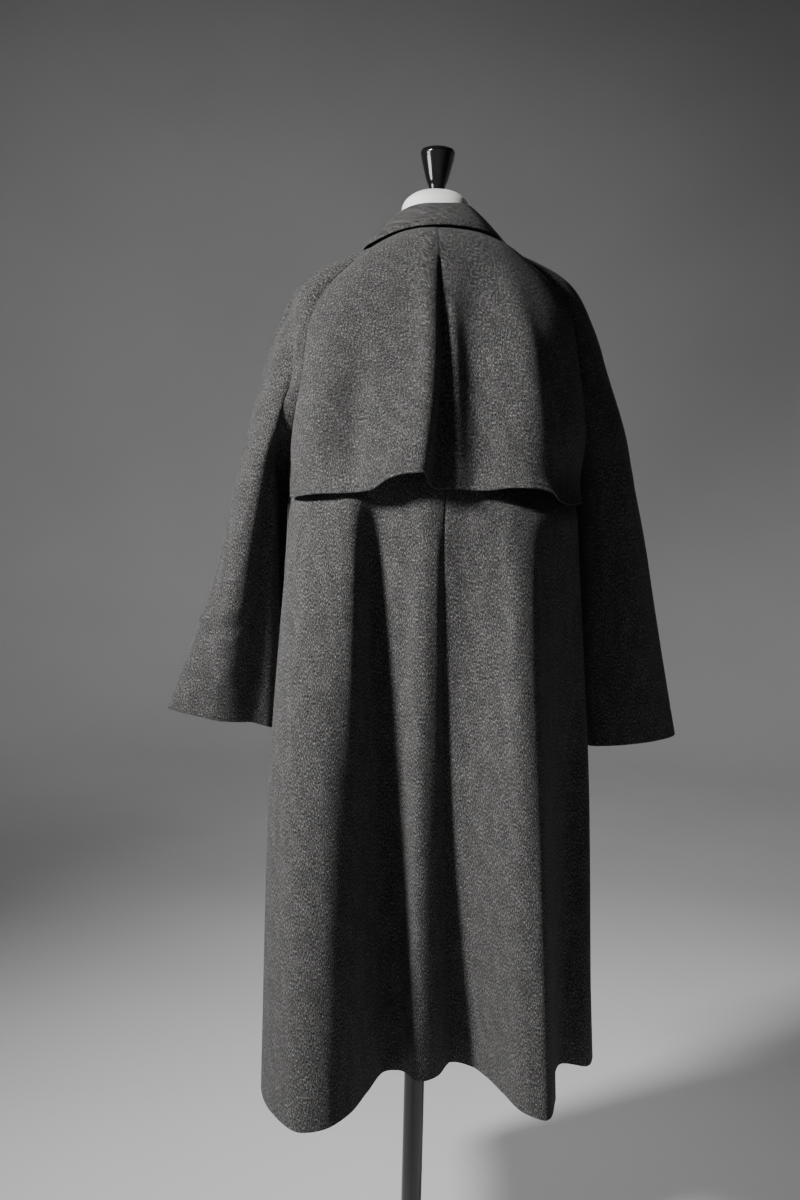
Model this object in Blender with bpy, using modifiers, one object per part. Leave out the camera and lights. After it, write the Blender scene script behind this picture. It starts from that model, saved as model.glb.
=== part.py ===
"""Wool coat with a storm flap and raglan sleeves, worn on a limbless dress form.

Metres, +Z up. The origin is the centre of the base plate's underside. The coat's
back faces +Y, its front -Y, and the wearer's left is +X.
"""
import math

import bpy
import numpy as np

# Driving dimensions of the coat
CLOTH = 0.0022          # thickness of the wool
SEAM = 0.0006           # gap between two sewn pieces
HEM_LEVEL = 0.310       # height of the hem where it would touch the form's axis
HEM_DROP = 0.130        # how much lower the hem lies for each metre that a fold stands out
KNEE_LEVEL = 0.660
WAIST_LEVEL = 1.070
FRONT_LAP = 0.030       # how far each front runs past the centre
FRONT_WIDTH = 0.400     # of one front, from the centre to its side seam
LAP_UNDER = (-0.26, -0.11)   # where along the right front it passes under the left one
UNDERARM_DROOP = 1.6    # how steeply the four seams' edges turn down where they meet
UNDERARM_FADE = 10      # and how soon that fades up the raglan seam
YOKE_TURN = math.radians(82)    # how far the body turns from its centre to a raglan seam
COLLAR_CLOTH = 0.0026
COLLAR_ROLL = 0.0028    # radius of the collar's fold line

# Driving dimensions of the dress form
STAND_RISE = 0.030      # how far the pole lifts the form and the coat above their tables
POLE_RADIUS = 0.015
BASE_RADIUS = 0.160
BASE_EDGE = 0.012
HUB_RADIUS = 0.032
HUB_TOP = 0.050
HUB_BORE_FLOOR = 0.014
TORSO_FOOT = 0.840
REST_GAP = 0.0004       # between pieces that rest on each other

# Skirt folds, from the right side seam round the back to the left side seam.
# Columns: fold, then x and y at the hem, at the knee and under the flap.
BACK_FOLDS = (
    ("right side seam", -0.268, 0.005, -0.243, 0.005, -0.209, -0.005),
    ("right side", -0.247, 0.044, -0.235, 0.047, -0.205, 0.052),
    ("right flank", -0.212, 0.042, -0.203, 0.054, -0.190, 0.092),
    ("right lobe side", -0.188, 0.090, -0.176, 0.090, -0.165, 0.120),
    ("right lobe edge", -0.170, 0.168, -0.154, 0.150, -0.138, 0.143),
    ("right lobe crest", -0.143, 0.219, -0.128, 0.203, -0.112, 0.157),
    ("right lobe inner", -0.117, 0.200, -0.103, 0.202, -0.090, 0.163),
    ("right rise", -0.101, 0.155, -0.080, 0.175, -0.070, 0.161),
    ("right slope", -0.086, 0.110, -0.060, 0.148, -0.050, 0.156),
    ("valley right", -0.068, 0.078, -0.040, 0.126, -0.024, 0.148),
    ("centre back", -0.040, 0.070, -0.016, 0.115, 0.001, 0.148),
    ("ridge right", -0.016, 0.108, -0.002, 0.130, 0.015, 0.151),
    ("ridge left", 0.012, 0.121, 0.024, 0.139, 0.034, 0.147),
    ("left valley", 0.034, 0.088, 0.046, 0.104, 0.058, 0.133),
    ("left valley floor", 0.054, 0.086, 0.066, 0.094, 0.078, 0.122),
    ("left slope", 0.086, 0.138, 0.094, 0.122, 0.100, 0.122),
    ("left lobe inner", 0.118, 0.192, 0.122, 0.157, 0.124, 0.125),
    ("left lobe crest", 0.152, 0.220, 0.155, 0.173, 0.145, 0.117),
    ("left lobe", 0.186, 0.220, 0.189, 0.164, 0.165, 0.105),
    ("left lobe side", 0.217, 0.165, 0.214, 0.122, 0.186, 0.080),
    ("left side", 0.229, 0.092, 0.225, 0.068, 0.199, 0.042),
    ("left side seam", 0.216, 0.005, 0.209, 0.004, 0.200, -0.002),
)

# The same from the right side seam round the front to the left side seam.
FRONT_FOLDS = (
    ("right side seam", -0.268, 0.005, -0.243, 0.005, -0.209, -0.005),
    ("right hip", -0.260, -0.076, -0.232, -0.062, -0.200, -0.050),
    ("right lobe", -0.224, -0.160, -0.204, -0.124, -0.179, -0.090),
    ("right lobe inner", -0.168, -0.196, -0.156, -0.160, -0.143, -0.119),
    ("right valley", -0.118, -0.144, -0.114, -0.140, -0.106, -0.134),
    ("right front", -0.070, -0.190, -0.069, -0.172, -0.067, -0.149),
    ("right lap", -0.034, -0.203, -0.034, -0.181, -0.034, -0.156),
    ("centre front", 0.000, -0.206, 0.000, -0.183, 0.000, -0.158),
    ("left lap", 0.034, -0.205, 0.034, -0.182, 0.034, -0.156),
    ("left front", 0.068, -0.192, 0.068, -0.172, 0.066, -0.149),
    ("left valley", 0.112, -0.150, 0.112, -0.140, 0.105, -0.133),
    ("left lobe inner", 0.156, -0.194, 0.150, -0.156, 0.139, -0.118),
    ("left lobe", 0.190, -0.152, 0.174, -0.118, 0.160, -0.092),
    ("left hip", 0.204, -0.072, 0.190, -0.058, 0.182, -0.055),
    ("left side seam", 0.216, 0.005, 0.209, 0.004, 0.200, -0.002),
)

# The yoke of the coat on its left. Columns: level, y and z at the centre back, x, y and z
# of the back raglan seam, x, y and z along the top of the sleeve, x, y and z of the front
# raglan seam, y and z at the centre front, how round the sleeve is there (0 to 1) and
# half the depth that it bulges to.
YOKE = (
    ("underarm", 0.150, 1.140, 0.203, -0.005, 1.130, 0.270, -0.018, 1.122,
     0.203, -0.005, 1.130, -0.156, 1.140, 1.00, 0.078),
    ("armhole", 0.149, 1.200, 0.199, 0.050, 1.190, 0.256, -0.014, 1.186,
     0.198, -0.060, 1.186, -0.153, 1.190, 0.62, 0.080),
    ("chest", 0.147, 1.270, 0.188, 0.073, 1.262, 0.239, -0.010, 1.262,
     0.185, -0.078, 1.252, -0.147, 1.250, 0.22, 0.082),
    ("blade", 0.139, 1.340, 0.180, 0.070, 1.330, 0.218, -0.006, 1.334,
     0.174, -0.074, 1.318, -0.134, 1.310, 0.08, 0.078),
    ("shoulder", 0.125, 1.401, 0.157, 0.064, 1.376, 0.188, -0.003, 1.392,
     0.148, -0.066, 1.366, -0.112, 1.356, 0.03, 0.070),
    ("slope", 0.101, 1.453, 0.114, 0.054, 1.415, 0.130, 0.000, 1.427,
     0.106, -0.054, 1.403, -0.090, 1.390, 0.00, 0.060),
    ("neck", 0.072, 1.4685, 0.060, 0.042, 1.453, 0.070, 0.002, 1.450,
     0.060, -0.040, 1.436, -0.074, 1.408, 0.00, 0.050),
)
YOKE_KNOTS = (0.86, 0.915, 0.985, 1.055, 1.110, 1.160, 1.195)
YOKE_SPAN = YOKE_KNOTS[-1] - YOKE_KNOTS[0]
SKIRT_KNOTS = (0.0, 0.38, 0.79)

# The sleeves below the underarm. Columns: level, x, y and z along the outer arm, x, y and z
# along the underarm seam, half of the depth from front to back.
LEFT_SLEEVE = (
    ("upper arm", 0.286, -0.026, 1.045, 0.202, -0.020, 1.040, 0.070),
    ("elbow", 0.308, -0.042, 0.955, 0.202, -0.036, 0.935, 0.058),
    ("forearm", 0.338, -0.068, 0.862, 0.204, -0.060, 0.838, 0.046),
    ("cuff", 0.366, -0.092, 0.784, 0.208, -0.081, 0.757, 0.036),
)
RIGHT_SLEEVE = (
    ("upper arm", 0.321, -0.022, 1.045, 0.219, -0.010, 1.040, 0.070),
    ("elbow", 0.343, -0.024, 0.945, 0.229, -0.012, 0.930, 0.058),
    ("forearm", 0.364, -0.026, 0.850, 0.239, -0.014, 0.836, 0.046),
    ("cuff", 0.384, -0.026, 0.757, 0.247, -0.016, 0.742, 0.037),
)
SLEEVE_KNOTS = (1.0, 1.10, 1.21, 1.32, 1.42)
# What the right side adds to the yoke: level by level, outwards and upwards.
RIGHT_YOKE_ADDS = (
    ("underarm", 0.029, 0.000),
    ("armhole", 0.026, 0.002),
    ("chest", 0.015, 0.006),
    ("blade", 0.010, 0.008),
    ("shoulder", 0.005, 0.010),
    ("slope", 0.005, 0.007),
    ("neck", 0.000, 0.003),
)

# Folds of the storm flap from right to left. Columns: fold, place along the back (-1 right
# seam, 0 centre, 1 left seam) and lift off the back at the chest, then place, lift and
# height at the flap's hem.
FLAP_FOLDS = (
    ("right edge", -0.982, 0.0034, -0.82, 0.013, 1.102),
    ("right side", -0.84, 0.013, -0.70, 0.027, 1.102),
    ("right lobe edge", -0.64, 0.024, -0.58, 0.038, 1.101),
    ("right lobe", -0.51, 0.030, -0.475, 0.045, 1.106),
    ("right lobe crest", -0.40, 0.032, -0.425, 0.052, 1.115),
    ("right lobe inner", -0.31, 0.028, -0.330, 0.052, 1.119),
    ("right slope", -0.23, 0.018, -0.245, 0.041, 1.118),
    ("right valley", -0.165, 0.010, -0.163, 0.024, 1.114),
    ("right of pleat", -0.09, 0.008, -0.097, 0.018, 1.113),
    ("pleat right fold", -0.015, 0.0085, -0.030, 0.019, 1.114),
    ("pleat right wall", 0.012, 0.0050, 0.008, 0.009, 1.114),
    ("pleat floor", 0.036, 0.0032, 0.040, 0.0045, 1.113),
    ("pleat left wall", 0.056, 0.0050, 0.072, 0.010, 1.116),
    ("pleat left turn", 0.078, 0.0125, 0.102, 0.032, 1.126),
    ("pleat left fold", 0.104, 0.0175, 0.130, 0.048, 1.134),
    ("left lobe inner", 0.165, 0.0175, 0.185, 0.050, 1.133),
    ("left lobe", 0.250, 0.0140, 0.245, 0.044, 1.127),
    ("left slope", 0.350, 0.0105, 0.330, 0.033, 1.111),
    ("left valley", 0.480, 0.0068, 0.435, 0.019, 1.108),
    ("left side lobe", 0.660, 0.0110, 0.600, 0.022, 1.106),
    ("left side", 0.840, 0.0085, 0.720, 0.018, 1.102),
    ("left edge", 0.982, 0.0034, 0.820, 0.010, 1.099),
)
FLAP_TOP_LIFT = 0.0034      # lift of the flap where it is sewn in at the neck
FLAP_CHEST = 0.42           # how far up the flap the chest lies
FLAP_PLEAT_TOP = 0.90       # and the top of its pleat
FLAP_TOP_ROW = 1.184        # row of the back where the flap ends, under the collar

# The collar, from the centre back to its left tip. Columns: place, x, y and z of the
# neck seam, of the axis of the roll at the top and of the outer edge.
COLLAR = (
    ("centre back", 0.000, 0.0740, 1.4720, 0.000, 0.0590, 1.4985, 0.002, 0.0930, 1.4655),
    ("back", 0.036, 0.0625, 1.4665, 0.032, 0.0490, 1.4970, 0.056, 0.0780, 1.4595),
    ("side back", 0.061, 0.0390, 1.4580, 0.048, 0.0260, 1.4930, 0.087, 0.0450, 1.4485),
    ("side", 0.0720, 0.0020, 1.4530, 0.0535, -0.0040, 1.4890, 0.099, -0.0110, 1.4420),
    ("side front", 0.062, -0.0400, 1.4390, 0.0500, -0.0380, 1.4760, 0.093, -0.0660, 1.4160),
    ("front", 0.038, -0.0655, 1.4240, 0.0330, -0.0600, 1.4590, 0.070, -0.1080, 1.3880),
    ("front end", 0.004, -0.0780, 1.4120, 0.0045, -0.0735, 1.4450, 0.034, -0.1300, 1.3640),
)
# What the right side adds: the whole collar's rise, then its edge's own from the centre
# to the tip, outwards and upwards.
RIGHT_COLLAR_RISE = 0.003
RIGHT_EDGE_ADDS = ((0.000, -0.002), (0.002, -0.003), (0.008, -0.001),
                   (0.011, 0.002), (0.006, 0.003), (0.001, 0.001))
STAND_STEPS = 4
ROLL_STEPS = 4
FALL_STEPS = 5
COLLAR_COLUMNS = 33

# The dress form up to its shoulders, and its neck. Columns: level, height, half width to
# the left and to the right, depth to the back and to the front.
TORSO = (
    ("foot", 0.840, 0.156, 0.156, 0.098, 0.092),
    ("hip", 0.900, 0.164, 0.164, 0.106, 0.098),
    ("waist", 1.010, 0.140, 0.140, 0.088, 0.088),
    ("ribs", 1.110, 0.150, 0.150, 0.098, 0.104),
    ("chest", 1.210, 0.164, 0.166, 0.112, 0.112),
    ("blade", 1.300, 0.174, 0.178, 0.106, 0.098),
    ("shoulder end", 1.352, 0.184, 0.190, 0.092, 0.082),
)
NECK = (
    ("neck foot", 1.4480, 0.0570, 0.0570, 0.0500, 0.0380),
    ("neck root", 1.4620, 0.0530, 0.0530, 0.0480, 0.0470),
    ("neck", 1.482, 0.0480, 0.0480, 0.0470, 0.0470),
    ("neck top", 1.500, 0.0485, 0.0485, 0.0470, 0.0470),
    ("cap side", 1.512, 0.0450, 0.0450, 0.0440, 0.0440),
    ("cap", 1.5210, 0.0360, 0.0360, 0.0350, 0.0350),
    ("cap crown", 1.5275, 0.0230, 0.0230, 0.0225, 0.0225),
    ("cap top", 1.5296, 0.0130, 0.0130, 0.0130, 0.0130),
)
SHOULDER_LEVELS = (1.380, 1.392, 1.404, 1.416, 1.427, 1.437)
SHOULDER_BACK = (0.080, 0.052)      # depth of the form from the shoulder end to the neck
SHOULDER_FRONT = (0.060, 0.028)
SHOULDER_REST = 0.0014              # from the form's shoulders to the cloth on them
TORSO_ROUND = 2.2                   # 2 is an ellipse, more is squarer
TORSO_STEPS = 32
# The finial, from the top of its outer side down: radius and height.
FINIAL = ((0.0, 1.5895), (0.0100, 1.5890), (0.0180, 1.5872), (0.0226, 1.5846),
          (0.0240, 1.5815), (0.0234, 1.5760), (0.0198, 1.5600), (0.0148, 1.5420),
          (0.0118, 1.5340), (0.0112, 1.5300), (0.0, 1.5300))

BUTTON_LEVELS = (1.300, 1.155, 1.010, 0.865)
BUTTON_RADIUS = 0.014
BUTTON_DEPTH = 0.0042
# A button from the middle of its face to its underside: shares of the radius and depth.
BUTTON_PROFILE = ((0.0, 0.70), (0.55, 0.70), (0.78, 1.0), (0.92, 1.0), (1.0, 0.62),
                  (0.96, 0.2), (0.80, 0.0), (0.0, 0.0))
BUTTON_SEAT = 0.8           # share of a button's radius that rests on the cloth


def smooth(knots, values, at, steady=False):
    """Smooth curve through the values at the knots, read at the places `at`. A steady
    curve never swings past its values."""
    knots = np.asarray(knots, dtype=float)
    values = np.asarray(values, dtype=float)
    at = np.asarray(at, dtype=float)
    shape = (-1,) + (1,) * (values.ndim - 1)
    step = np.diff(knots)
    slope = np.diff(values, axis=0) / step.reshape(shape)
    tangent = np.empty_like(values)
    tangent[0] = slope[0]
    tangent[-1] = slope[-1]
    before = step[:-1].reshape(shape)
    after = step[1:].reshape(shape)
    tangent[1:-1] = (slope[:-1] * after + slope[1:] * before) / (before + after)
    if steady:
        product = slope[:-1] * slope[1:]
        total = np.where(product > 0, slope[:-1] + slope[1:], 1.0)
        tangent[1:-1] = np.where(product > 0, 2 * product / total, 0.0)
    span = np.clip(np.searchsorted(knots, at, side="right") - 1, 0, len(step) - 1)
    t = ((at - knots[span]) / step[span]).reshape(shape)
    h = step[span].reshape(shape)
    return (values[span] * (1 + 2 * t) * (1 - t) ** 2 + tangent[span] * h * t * (1 - t) ** 2
            + values[span + 1] * t * t * (3 - 2 * t) + tangent[span + 1] * h * t * t * (t - 1))


def ease(value, low, high):
    """0 below low, 1 above high, with a soft ramp between."""
    t = np.clip((np.asarray(value, dtype=float) - low) / (high - low), 0, 1)
    return t * t * (3 - 2 * t)


def unit(vectors):
    return vectors / np.maximum(np.linalg.norm(vectors, axis=-1, keepdims=True), 1e-9)


def yoke_rows(side):
    """The yoke's table for one side, with that side's sign and its extra ease."""
    rows = np.array([row[1:] for row in YOKE])
    if side < 0:
        for row, (_, out, up) in zip(rows, RIGHT_YOKE_ADDS):
            row[5] += out
            row[[4, 7, 10]] += up
            row[[2, 8]] += out * 0.2
    rows[:, [2, 5, 8]] *= side
    return rows


YOKE_SIDES = {1: yoke_rows(1), -1: yoke_rows(-1)}


def fold_fractions(folds, centre_name):
    """Place of each fold along its row: -1 and 1 at the side seams, 0 at the centre."""
    levels = np.array([row[1:] for row in folds]).reshape(len(folds), 3, 2)
    chords = np.linalg.norm(np.diff(levels, axis=0), axis=2).mean(axis=1)
    along = np.concatenate([[0.0], np.cumsum(chords)])
    centre = along[[row[0] for row in folds].index(centre_name)]
    along -= centre
    return np.where(along < 0, along / -along[0], along / along[-1])


def body_grid(folds, fractions, front, columns, rows):
    """Points of the coat's back or front: rows run from the hem up, columns across."""
    levels = np.array([row[1:] for row in folds]).reshape(len(folds), 3, 2)
    lines = []
    for place, fold in zip(fractions, levels):
        reach = np.linalg.norm(fold[0])
        points = [(*fold[0], HEM_LEVEL - HEM_DROP * reach),
                  (*fold[1], KNEE_LEVEL), (*fold[2], WAIST_LEVEL)]
        yoke = YOKE_SIDES[1 if place >= 0 else -1]
        for row in yoke:
            seam = row[8:11] if front else row[2:5]
            centre = row[11:13] if front else row[0:2]
            turn = YOKE_TURN * abs(place)
            across = seam[0] * math.sin(turn) / math.sin(YOKE_TURN)
            rise = (1 - math.cos(turn)) / (1 - math.cos(YOKE_TURN))
            points.append((across, centre[0] + (seam[1] - centre[0]) * rise,
                           centre[1] + (seam[2] - centre[1]) * rise))
        lines.append(points)
    lines = np.array(lines)
    knots = SKIRT_KNOTS + YOKE_KNOTS
    by_row = smooth(knots, lines.transpose(1, 0, 2), rows, steady=True)
    return smooth(fractions, by_row.transpose(1, 0, 2), columns).transpose(1, 0, 2)


BACK_PLACES = fold_fractions(BACK_FOLDS, "centre back")
FRONT_PLACES = fold_fractions(FRONT_FOLDS, "centre front")


def back_grid(columns, rows):
    return body_grid(BACK_FOLDS, BACK_PLACES, False, columns, rows)


def front_grid(columns, rows):
    return body_grid(FRONT_FOLDS, FRONT_PLACES, True, columns, rows)


def sleeve_grid(side, turns, rows):
    """Points of one sleeve. Turns run from -1 at the front seam, over the arm, to 1 at
    the back seam. Rows run from 0 at the neck, past 1 at the underarm, to the cuff."""
    rows = np.asarray(rows, dtype=float)
    yoke = YOKE_SIDES[side][::-1]
    tube = np.array([row[1:] for row in (LEFT_SLEEVE if side > 0 else RIGHT_SLEEVE)])
    tube[:, [0, 3]] *= side
    knots = (YOKE_KNOTS[-1] - np.array(YOKE_KNOTS[::-1])) / YOKE_SPAN
    knots = np.concatenate([knots, SLEEVE_KNOTS[1:]])
    apex = smooth(knots, np.concatenate([yoke[:, 5:8], tube[:, 0:3]]), rows)
    roundness = smooth(knots, np.append(yoke[:, 13], np.ones(len(tube))), rows, steady=True)
    depth = smooth(knots, np.append(yoke[:, 14], tube[:, 6]), rows, steady=True)
    # Down to the underarm the sleeve is sewn to the body, below it to itself.
    body_rows = YOKE_KNOTS[-1] - np.minimum(rows, 1.0) * YOKE_SPAN
    back = back_grid(np.array([float(side)]), body_rows)[:, 0]
    front = front_grid(np.array([float(side)]), body_rows)[:, 0]
    underarm = smooth(SLEEVE_KNOTS, np.concatenate([yoke[-1:, 2:5], tube[:, 3:6]]), rows)
    below = (rows > 1.0)[:, None]
    back = np.where(below, underarm, back)
    front = np.where(below, underarm, front)
    roundness = roundness[:, None, None]
    depth = depth[:, None, None]
    middle = (back + front) / 2
    rise = (apex - middle)[:, None, :]
    gap = (back - front) / 2
    half = np.linalg.norm(gap, axis=1)[:, None, None]
    backward = unit(gap + np.array([0, 1e-4, 0]))[:, None, :]
    turns = np.asarray(turns, dtype=float)[None, :, None]
    up = ((1 - roundness) * np.cos(math.pi * turns / 2)
          + roundness * (1 + np.cos(math.pi * turns)) / 2)
    across = ((1 - roundness) * half * np.sin(math.pi * turns / 2)
              + roundness * (depth * np.sin(math.pi * turns) + half * turns))
    return middle[:, None, :] + rise * up + backward * across


def grid_normals(grid, outward):
    """Unit normals of a grid of points, on the side that `outward` points to."""
    normals = unit(np.cross(np.gradient(grid, axis=1), np.gradient(grid, axis=0)))
    turn = np.sign(np.sum(normals * outward, axis=-1).sum())
    return normals * turn


def away_from_axis(grid):
    return unit(grid * (1, 1, 0))


def pull_in(grid):
    """Draw the side edges of a grid in, so that two sewn pieces keep a gap."""
    grid = grid.copy()
    grid[:, 0] += unit(grid[:, 1] - grid[:, 0]) * SEAM / 2
    grid[:, -1] += unit(grid[:, -2] - grid[:, -1]) * SEAM / 2
    return grid


def remove_old():
    for item in list(bpy.data.objects):
        bpy.data.objects.remove(item, do_unlink=True)


def material(name, colour, roughness, metallic=0.0):
    made = bpy.data.materials.new(name)
    made.use_nodes = True
    shader = made.node_tree.nodes["Principled BSDF"]
    shader.inputs["Base Color"].default_value = (*colour, 1.0)
    shader.inputs["Roughness"].default_value = roughness
    shader.inputs["Metallic"].default_value = metallic
    made.diffuse_color = (*colour, 1.0)
    return made


def add_object(name, data, finish, collection):
    data.materials.append(finish)
    made = bpy.data.objects.new(name, data)
    made.location.z = STAND_RISE
    collection.objects.link(made)
    return made


def wall(name, outer, normals, thickness, finish, collection):
    """A cloth panel: its outer face, the same face moved in by the thickness, and the
    rims that join them. Neighbours share the direction of their seam, so the rims of
    two sewn panels stay parallel."""
    rows, columns = outer.shape[:2]
    inner = outer - normals * thickness
    points = np.concatenate([outer.reshape(-1, 3), inner.reshape(-1, 3)])
    count = rows * columns
    faces = []
    for row in range(rows - 1):
        for column in range(columns - 1):
            a = row * columns + column
            b = a + 1
            c = b + columns
            d = a + columns
            faces.append((a, b, c, d))
            faces.append((count + d, count + c, count + b, count + a))
    border = [column for column in range(columns)]
    border += [row * columns + columns - 1 for row in range(1, rows)]
    border += [(rows - 1) * columns + column for column in range(columns - 2, -1, -1)]
    border += [row * columns for row in range(rows - 2, 0, -1)]
    for index, point in enumerate(border):
        following = border[(index + 1) % len(border)]
        faces.append((point, count + point, count + following, following))
    middle_row = rows // 2
    middle_column = columns // 2
    across = outer[middle_row, middle_column + 1] - outer[middle_row, middle_column]
    upward = outer[middle_row + 1, middle_column] - outer[middle_row, middle_column]
    if np.dot(np.cross(across, upward), normals[middle_row, middle_column]) < 0:
        faces = [tuple(reversed(face)) for face in faces]
    mesh = bpy.data.meshes.new(name)
    mesh.from_pydata([tuple(point) for point in points], [], faces)
    mesh.update()
    mesh.shade_smooth()
    mesh.set_sharp_from_angle(angle=math.radians(50))
    return add_object(name, mesh, finish, collection)


def turned(name, profile, finish, collection, place=(0, 0, STAND_RISE), steps=32):
    """A turned piece: a profile of (radius, height) pairs, from the top of its outer
    side down, swept round a vertical axis."""
    mesh = bpy.data.meshes.new(name)
    edges = [(index, index + 1) for index in range(len(profile) - 1)]
    mesh.from_pydata([(radius, 0, height) for radius, height in profile], edges, [])
    made = add_object(name, mesh, finish, collection)
    made.location = place
    screw = made.modifiers.new("Turned", "SCREW")
    screw.steps = steps
    screw.render_steps = steps
    screw.use_merge_vertices = True
    screw.merge_threshold = 0.00005
    screw.use_smooth_shade = True
    return made


def seam_normals(first, second, droop=0.0):
    """One direction for both sides of a seam. The droop turns it downwards where both
    pieces hang from the seam."""
    total = first + second
    total[..., 2] -= droop
    return unit(total)


SKIRT_ROWS = (0.0, 0.12, 0.25, 0.38, 0.51, 0.64, 0.75, 0.81, 0.86)
YOKE_LEVELS = (0.90, 0.94, 0.98, 1.02, 1.055, 1.085, 1.11, 1.135, 1.155, 1.175, 1.195)
BODY_ROWS = np.array(SKIRT_ROWS + YOKE_LEVELS)
UNDERARM_ROW = len(SKIRT_ROWS) - 1
YOKE_ROW_COUNT = len(BODY_ROWS) - UNDERARM_ROW
TUBE_ROWS = np.array([1.04, 1.08, 1.13, 1.18, 1.24, 1.30, 1.36, 1.42])
SLEEVE_ROWS = np.concatenate([(YOKE_KNOTS[-1] - BODY_ROWS[:UNDERARM_ROW - 1:-1]) / YOKE_SPAN,
                              TUBE_ROWS])
SLEEVE_TURNS = 9


def back_columns(side, per_fold=2):
    """Column places of one back, with a few columns between one fold and the next."""
    folds = [place for place in BACK_PLACES if place * side > -1e-9]
    places = []
    for first, second in zip(folds[:-1], folds[1:]):
        places += [first + (second - first) * step / per_fold for step in range(per_fold)]
    return np.array(places + [folds[-1]])


def front_columns(side, per_fold=2):
    folds = [place for place in FRONT_PLACES if place * side > 1e-9]
    lap = -side * FRONT_LAP / FRONT_WIDTH
    ends = [lap, lap / 2, 0.0]
    folds = ends + folds if side > 0 else folds + ends[::-1]
    places = []
    for first, second in zip(folds[:-1], folds[1:]):
        places += [first + (second - first) * step / per_fold for step in range(per_fold)]
    return np.array(places + [folds[-1]])


def make_coat(wool, collection):
    panels = {}
    for side, label in ((1, "left"), (-1, "right")):
        columns = back_columns(side)
        grid = back_grid(columns, BODY_ROWS)
        panels["back", side] = (grid, grid_normals(grid, away_from_axis(grid)))
        columns = front_columns(side)
        grid = front_grid(columns, BODY_ROWS)
        panels["front", side] = (grid, grid_normals(grid, away_from_axis(grid)))
        panels["front columns", side] = columns
        for half, turns in (("back", np.linspace(0, 1, SLEEVE_TURNS)),
                            ("front", np.linspace(-1, 0, SLEEVE_TURNS))):
            grid = sleeve_grid(side, turns, SLEEVE_ROWS)
            spine = sleeve_grid(side, [-1, 0, 1], SLEEVE_ROWS).mean(axis=1, keepdims=True)
            panels["sleeve " + half, side] = (grid, grid_normals(grid, unit(grid - spine)))

    # The centre-back seam.
    shared = seam_normals(panels["back", 1][1][:, 0], panels["back", -1][1][:, -1])
    panels["back", 1][1][:, 0] = shared
    panels["back", -1][1][:, -1] = shared

    for side, label in ((1, "left"), (-1, "right")):
        outer_column = -1 if side > 0 else 0
        back, back_normals = panels["back", side]
        front, front_normals = panels["front", side]
        sleeve_back, sleeve_back_normals = panels["sleeve back", side]
        sleeve_front, sleeve_front_normals = panels["sleeve front", side]
        below = slice(0, UNDERARM_ROW + 1)
        above = slice(UNDERARM_ROW, None)
        # The side seam, then the raglan seams, whose two pieces meet at an angle.
        shared = seam_normals(back_normals[below, outer_column], front_normals[below, outer_column])
        back_normals[below, outer_column] = shared
        front_normals[below, outer_column] = shared
        droop = UNDERARM_DROOP * np.linspace(1, 0, YOKE_ROW_COUNT) ** UNDERARM_FADE
        for body, sleeve, sleeve_column in ((back_normals, sleeve_back_normals, -1),
                                            (front_normals, sleeve_front_normals, 0)):
            sleeve_seam = sleeve[:YOKE_ROW_COUNT, sleeve_column][::-1]
            shared = seam_normals(body[above, outer_column], sleeve_seam, droop)
            body[above, outer_column] = shared
            sleeve[:YOKE_ROW_COUNT, sleeve_column] = shared[::-1]
        # The seam over the shoulder and down the outer arm, and the underarm seam.
        shared = seam_normals(sleeve_back_normals[:, 0], sleeve_front_normals[:, -1])
        sleeve_back_normals[:, 0] = shared
        sleeve_front_normals[:, -1] = shared
        tube = slice(YOKE_ROW_COUNT, None)
        shared = seam_normals(sleeve_back_normals[tube, -1], sleeve_front_normals[tube, 0])
        sleeve_back_normals[tube, -1] = shared
        sleeve_front_normals[tube, 0] = shared

        wall("back_" + label, pull_in(back), back_normals, CLOTH, wool, collection)
        if side < 0:
            lap = panels["front columns", side]
            under = (CLOTH + SEAM * 2) * ease(lap, *LAP_UNDER)
            front = front - front_normals * under[None, :, None]
        wall("front_" + label, pull_in(front), front_normals, CLOTH, wool, collection)
        for half, grid, normals in (("back", sleeve_back, sleeve_back_normals),
                                    ("front", sleeve_front, sleeve_front_normals)):
            wall(f"sleeve_{label}_{half}", pull_in(grid), normals, CLOTH, wool, collection)


FLAP_LEVELS = YOKE_LEVELS[:-1] + (FLAP_TOP_ROW,)


def flap_places(per_fold=2):
    count = len(FLAP_FOLDS)
    return np.linspace(0, count - 1, (count - 1) * per_fold + 1)


def flap_grid(places):
    """Points of the storm flap: the back's points, moved out by the flap's lift."""
    table = np.array([row[1:] for row in FLAP_FOLDS])
    folds = smooth(np.arange(len(table)), table, places, steady=True)
    chest_place, chest_lift, hem_place, hem_lift, hem_height = folds.T
    knots = (0.0, FLAP_CHEST, FLAP_PLEAT_TOP, 1.0)
    top = np.full(len(places), FLAP_TOP_LIFT)
    across = [hem_place, chest_place, chest_place, chest_place]
    lift = [hem_lift, chest_lift, top, top]
    levels = np.linspace(SKIRT_KNOTS[-1], YOKE_KNOTS[-1], 90)
    fine = np.linspace(-1, 1, 161)
    base = back_grid(fine, levels)
    out = grid_normals(base, away_from_axis(base))
    grid = np.empty((len(FLAP_LEVELS) + 1, len(places), 3))
    for column in range(len(places)):
        heights = [np.interp(hem_place[column], fine, line) for line in base[:, :, 2]]
        hem_level = np.interp(hem_height[column], heights, levels)
        for row, level in enumerate((hem_level, *FLAP_LEVELS)):
            share = (level - hem_level) / (FLAP_LEVELS[-1] - hem_level)
            shape = smooth(knots, np.array([across, lift])[:, :, column].T, [share], steady=True)
            place, out_by = shape[0]
            above = max(level, YOKE_KNOTS[1])
            point = read_grid(base, levels, fine, level, place)
            normal = read_grid(out, levels, fine, above, place)
            grid[row, column] = point + unit(normal) * out_by
    return grid


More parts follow.
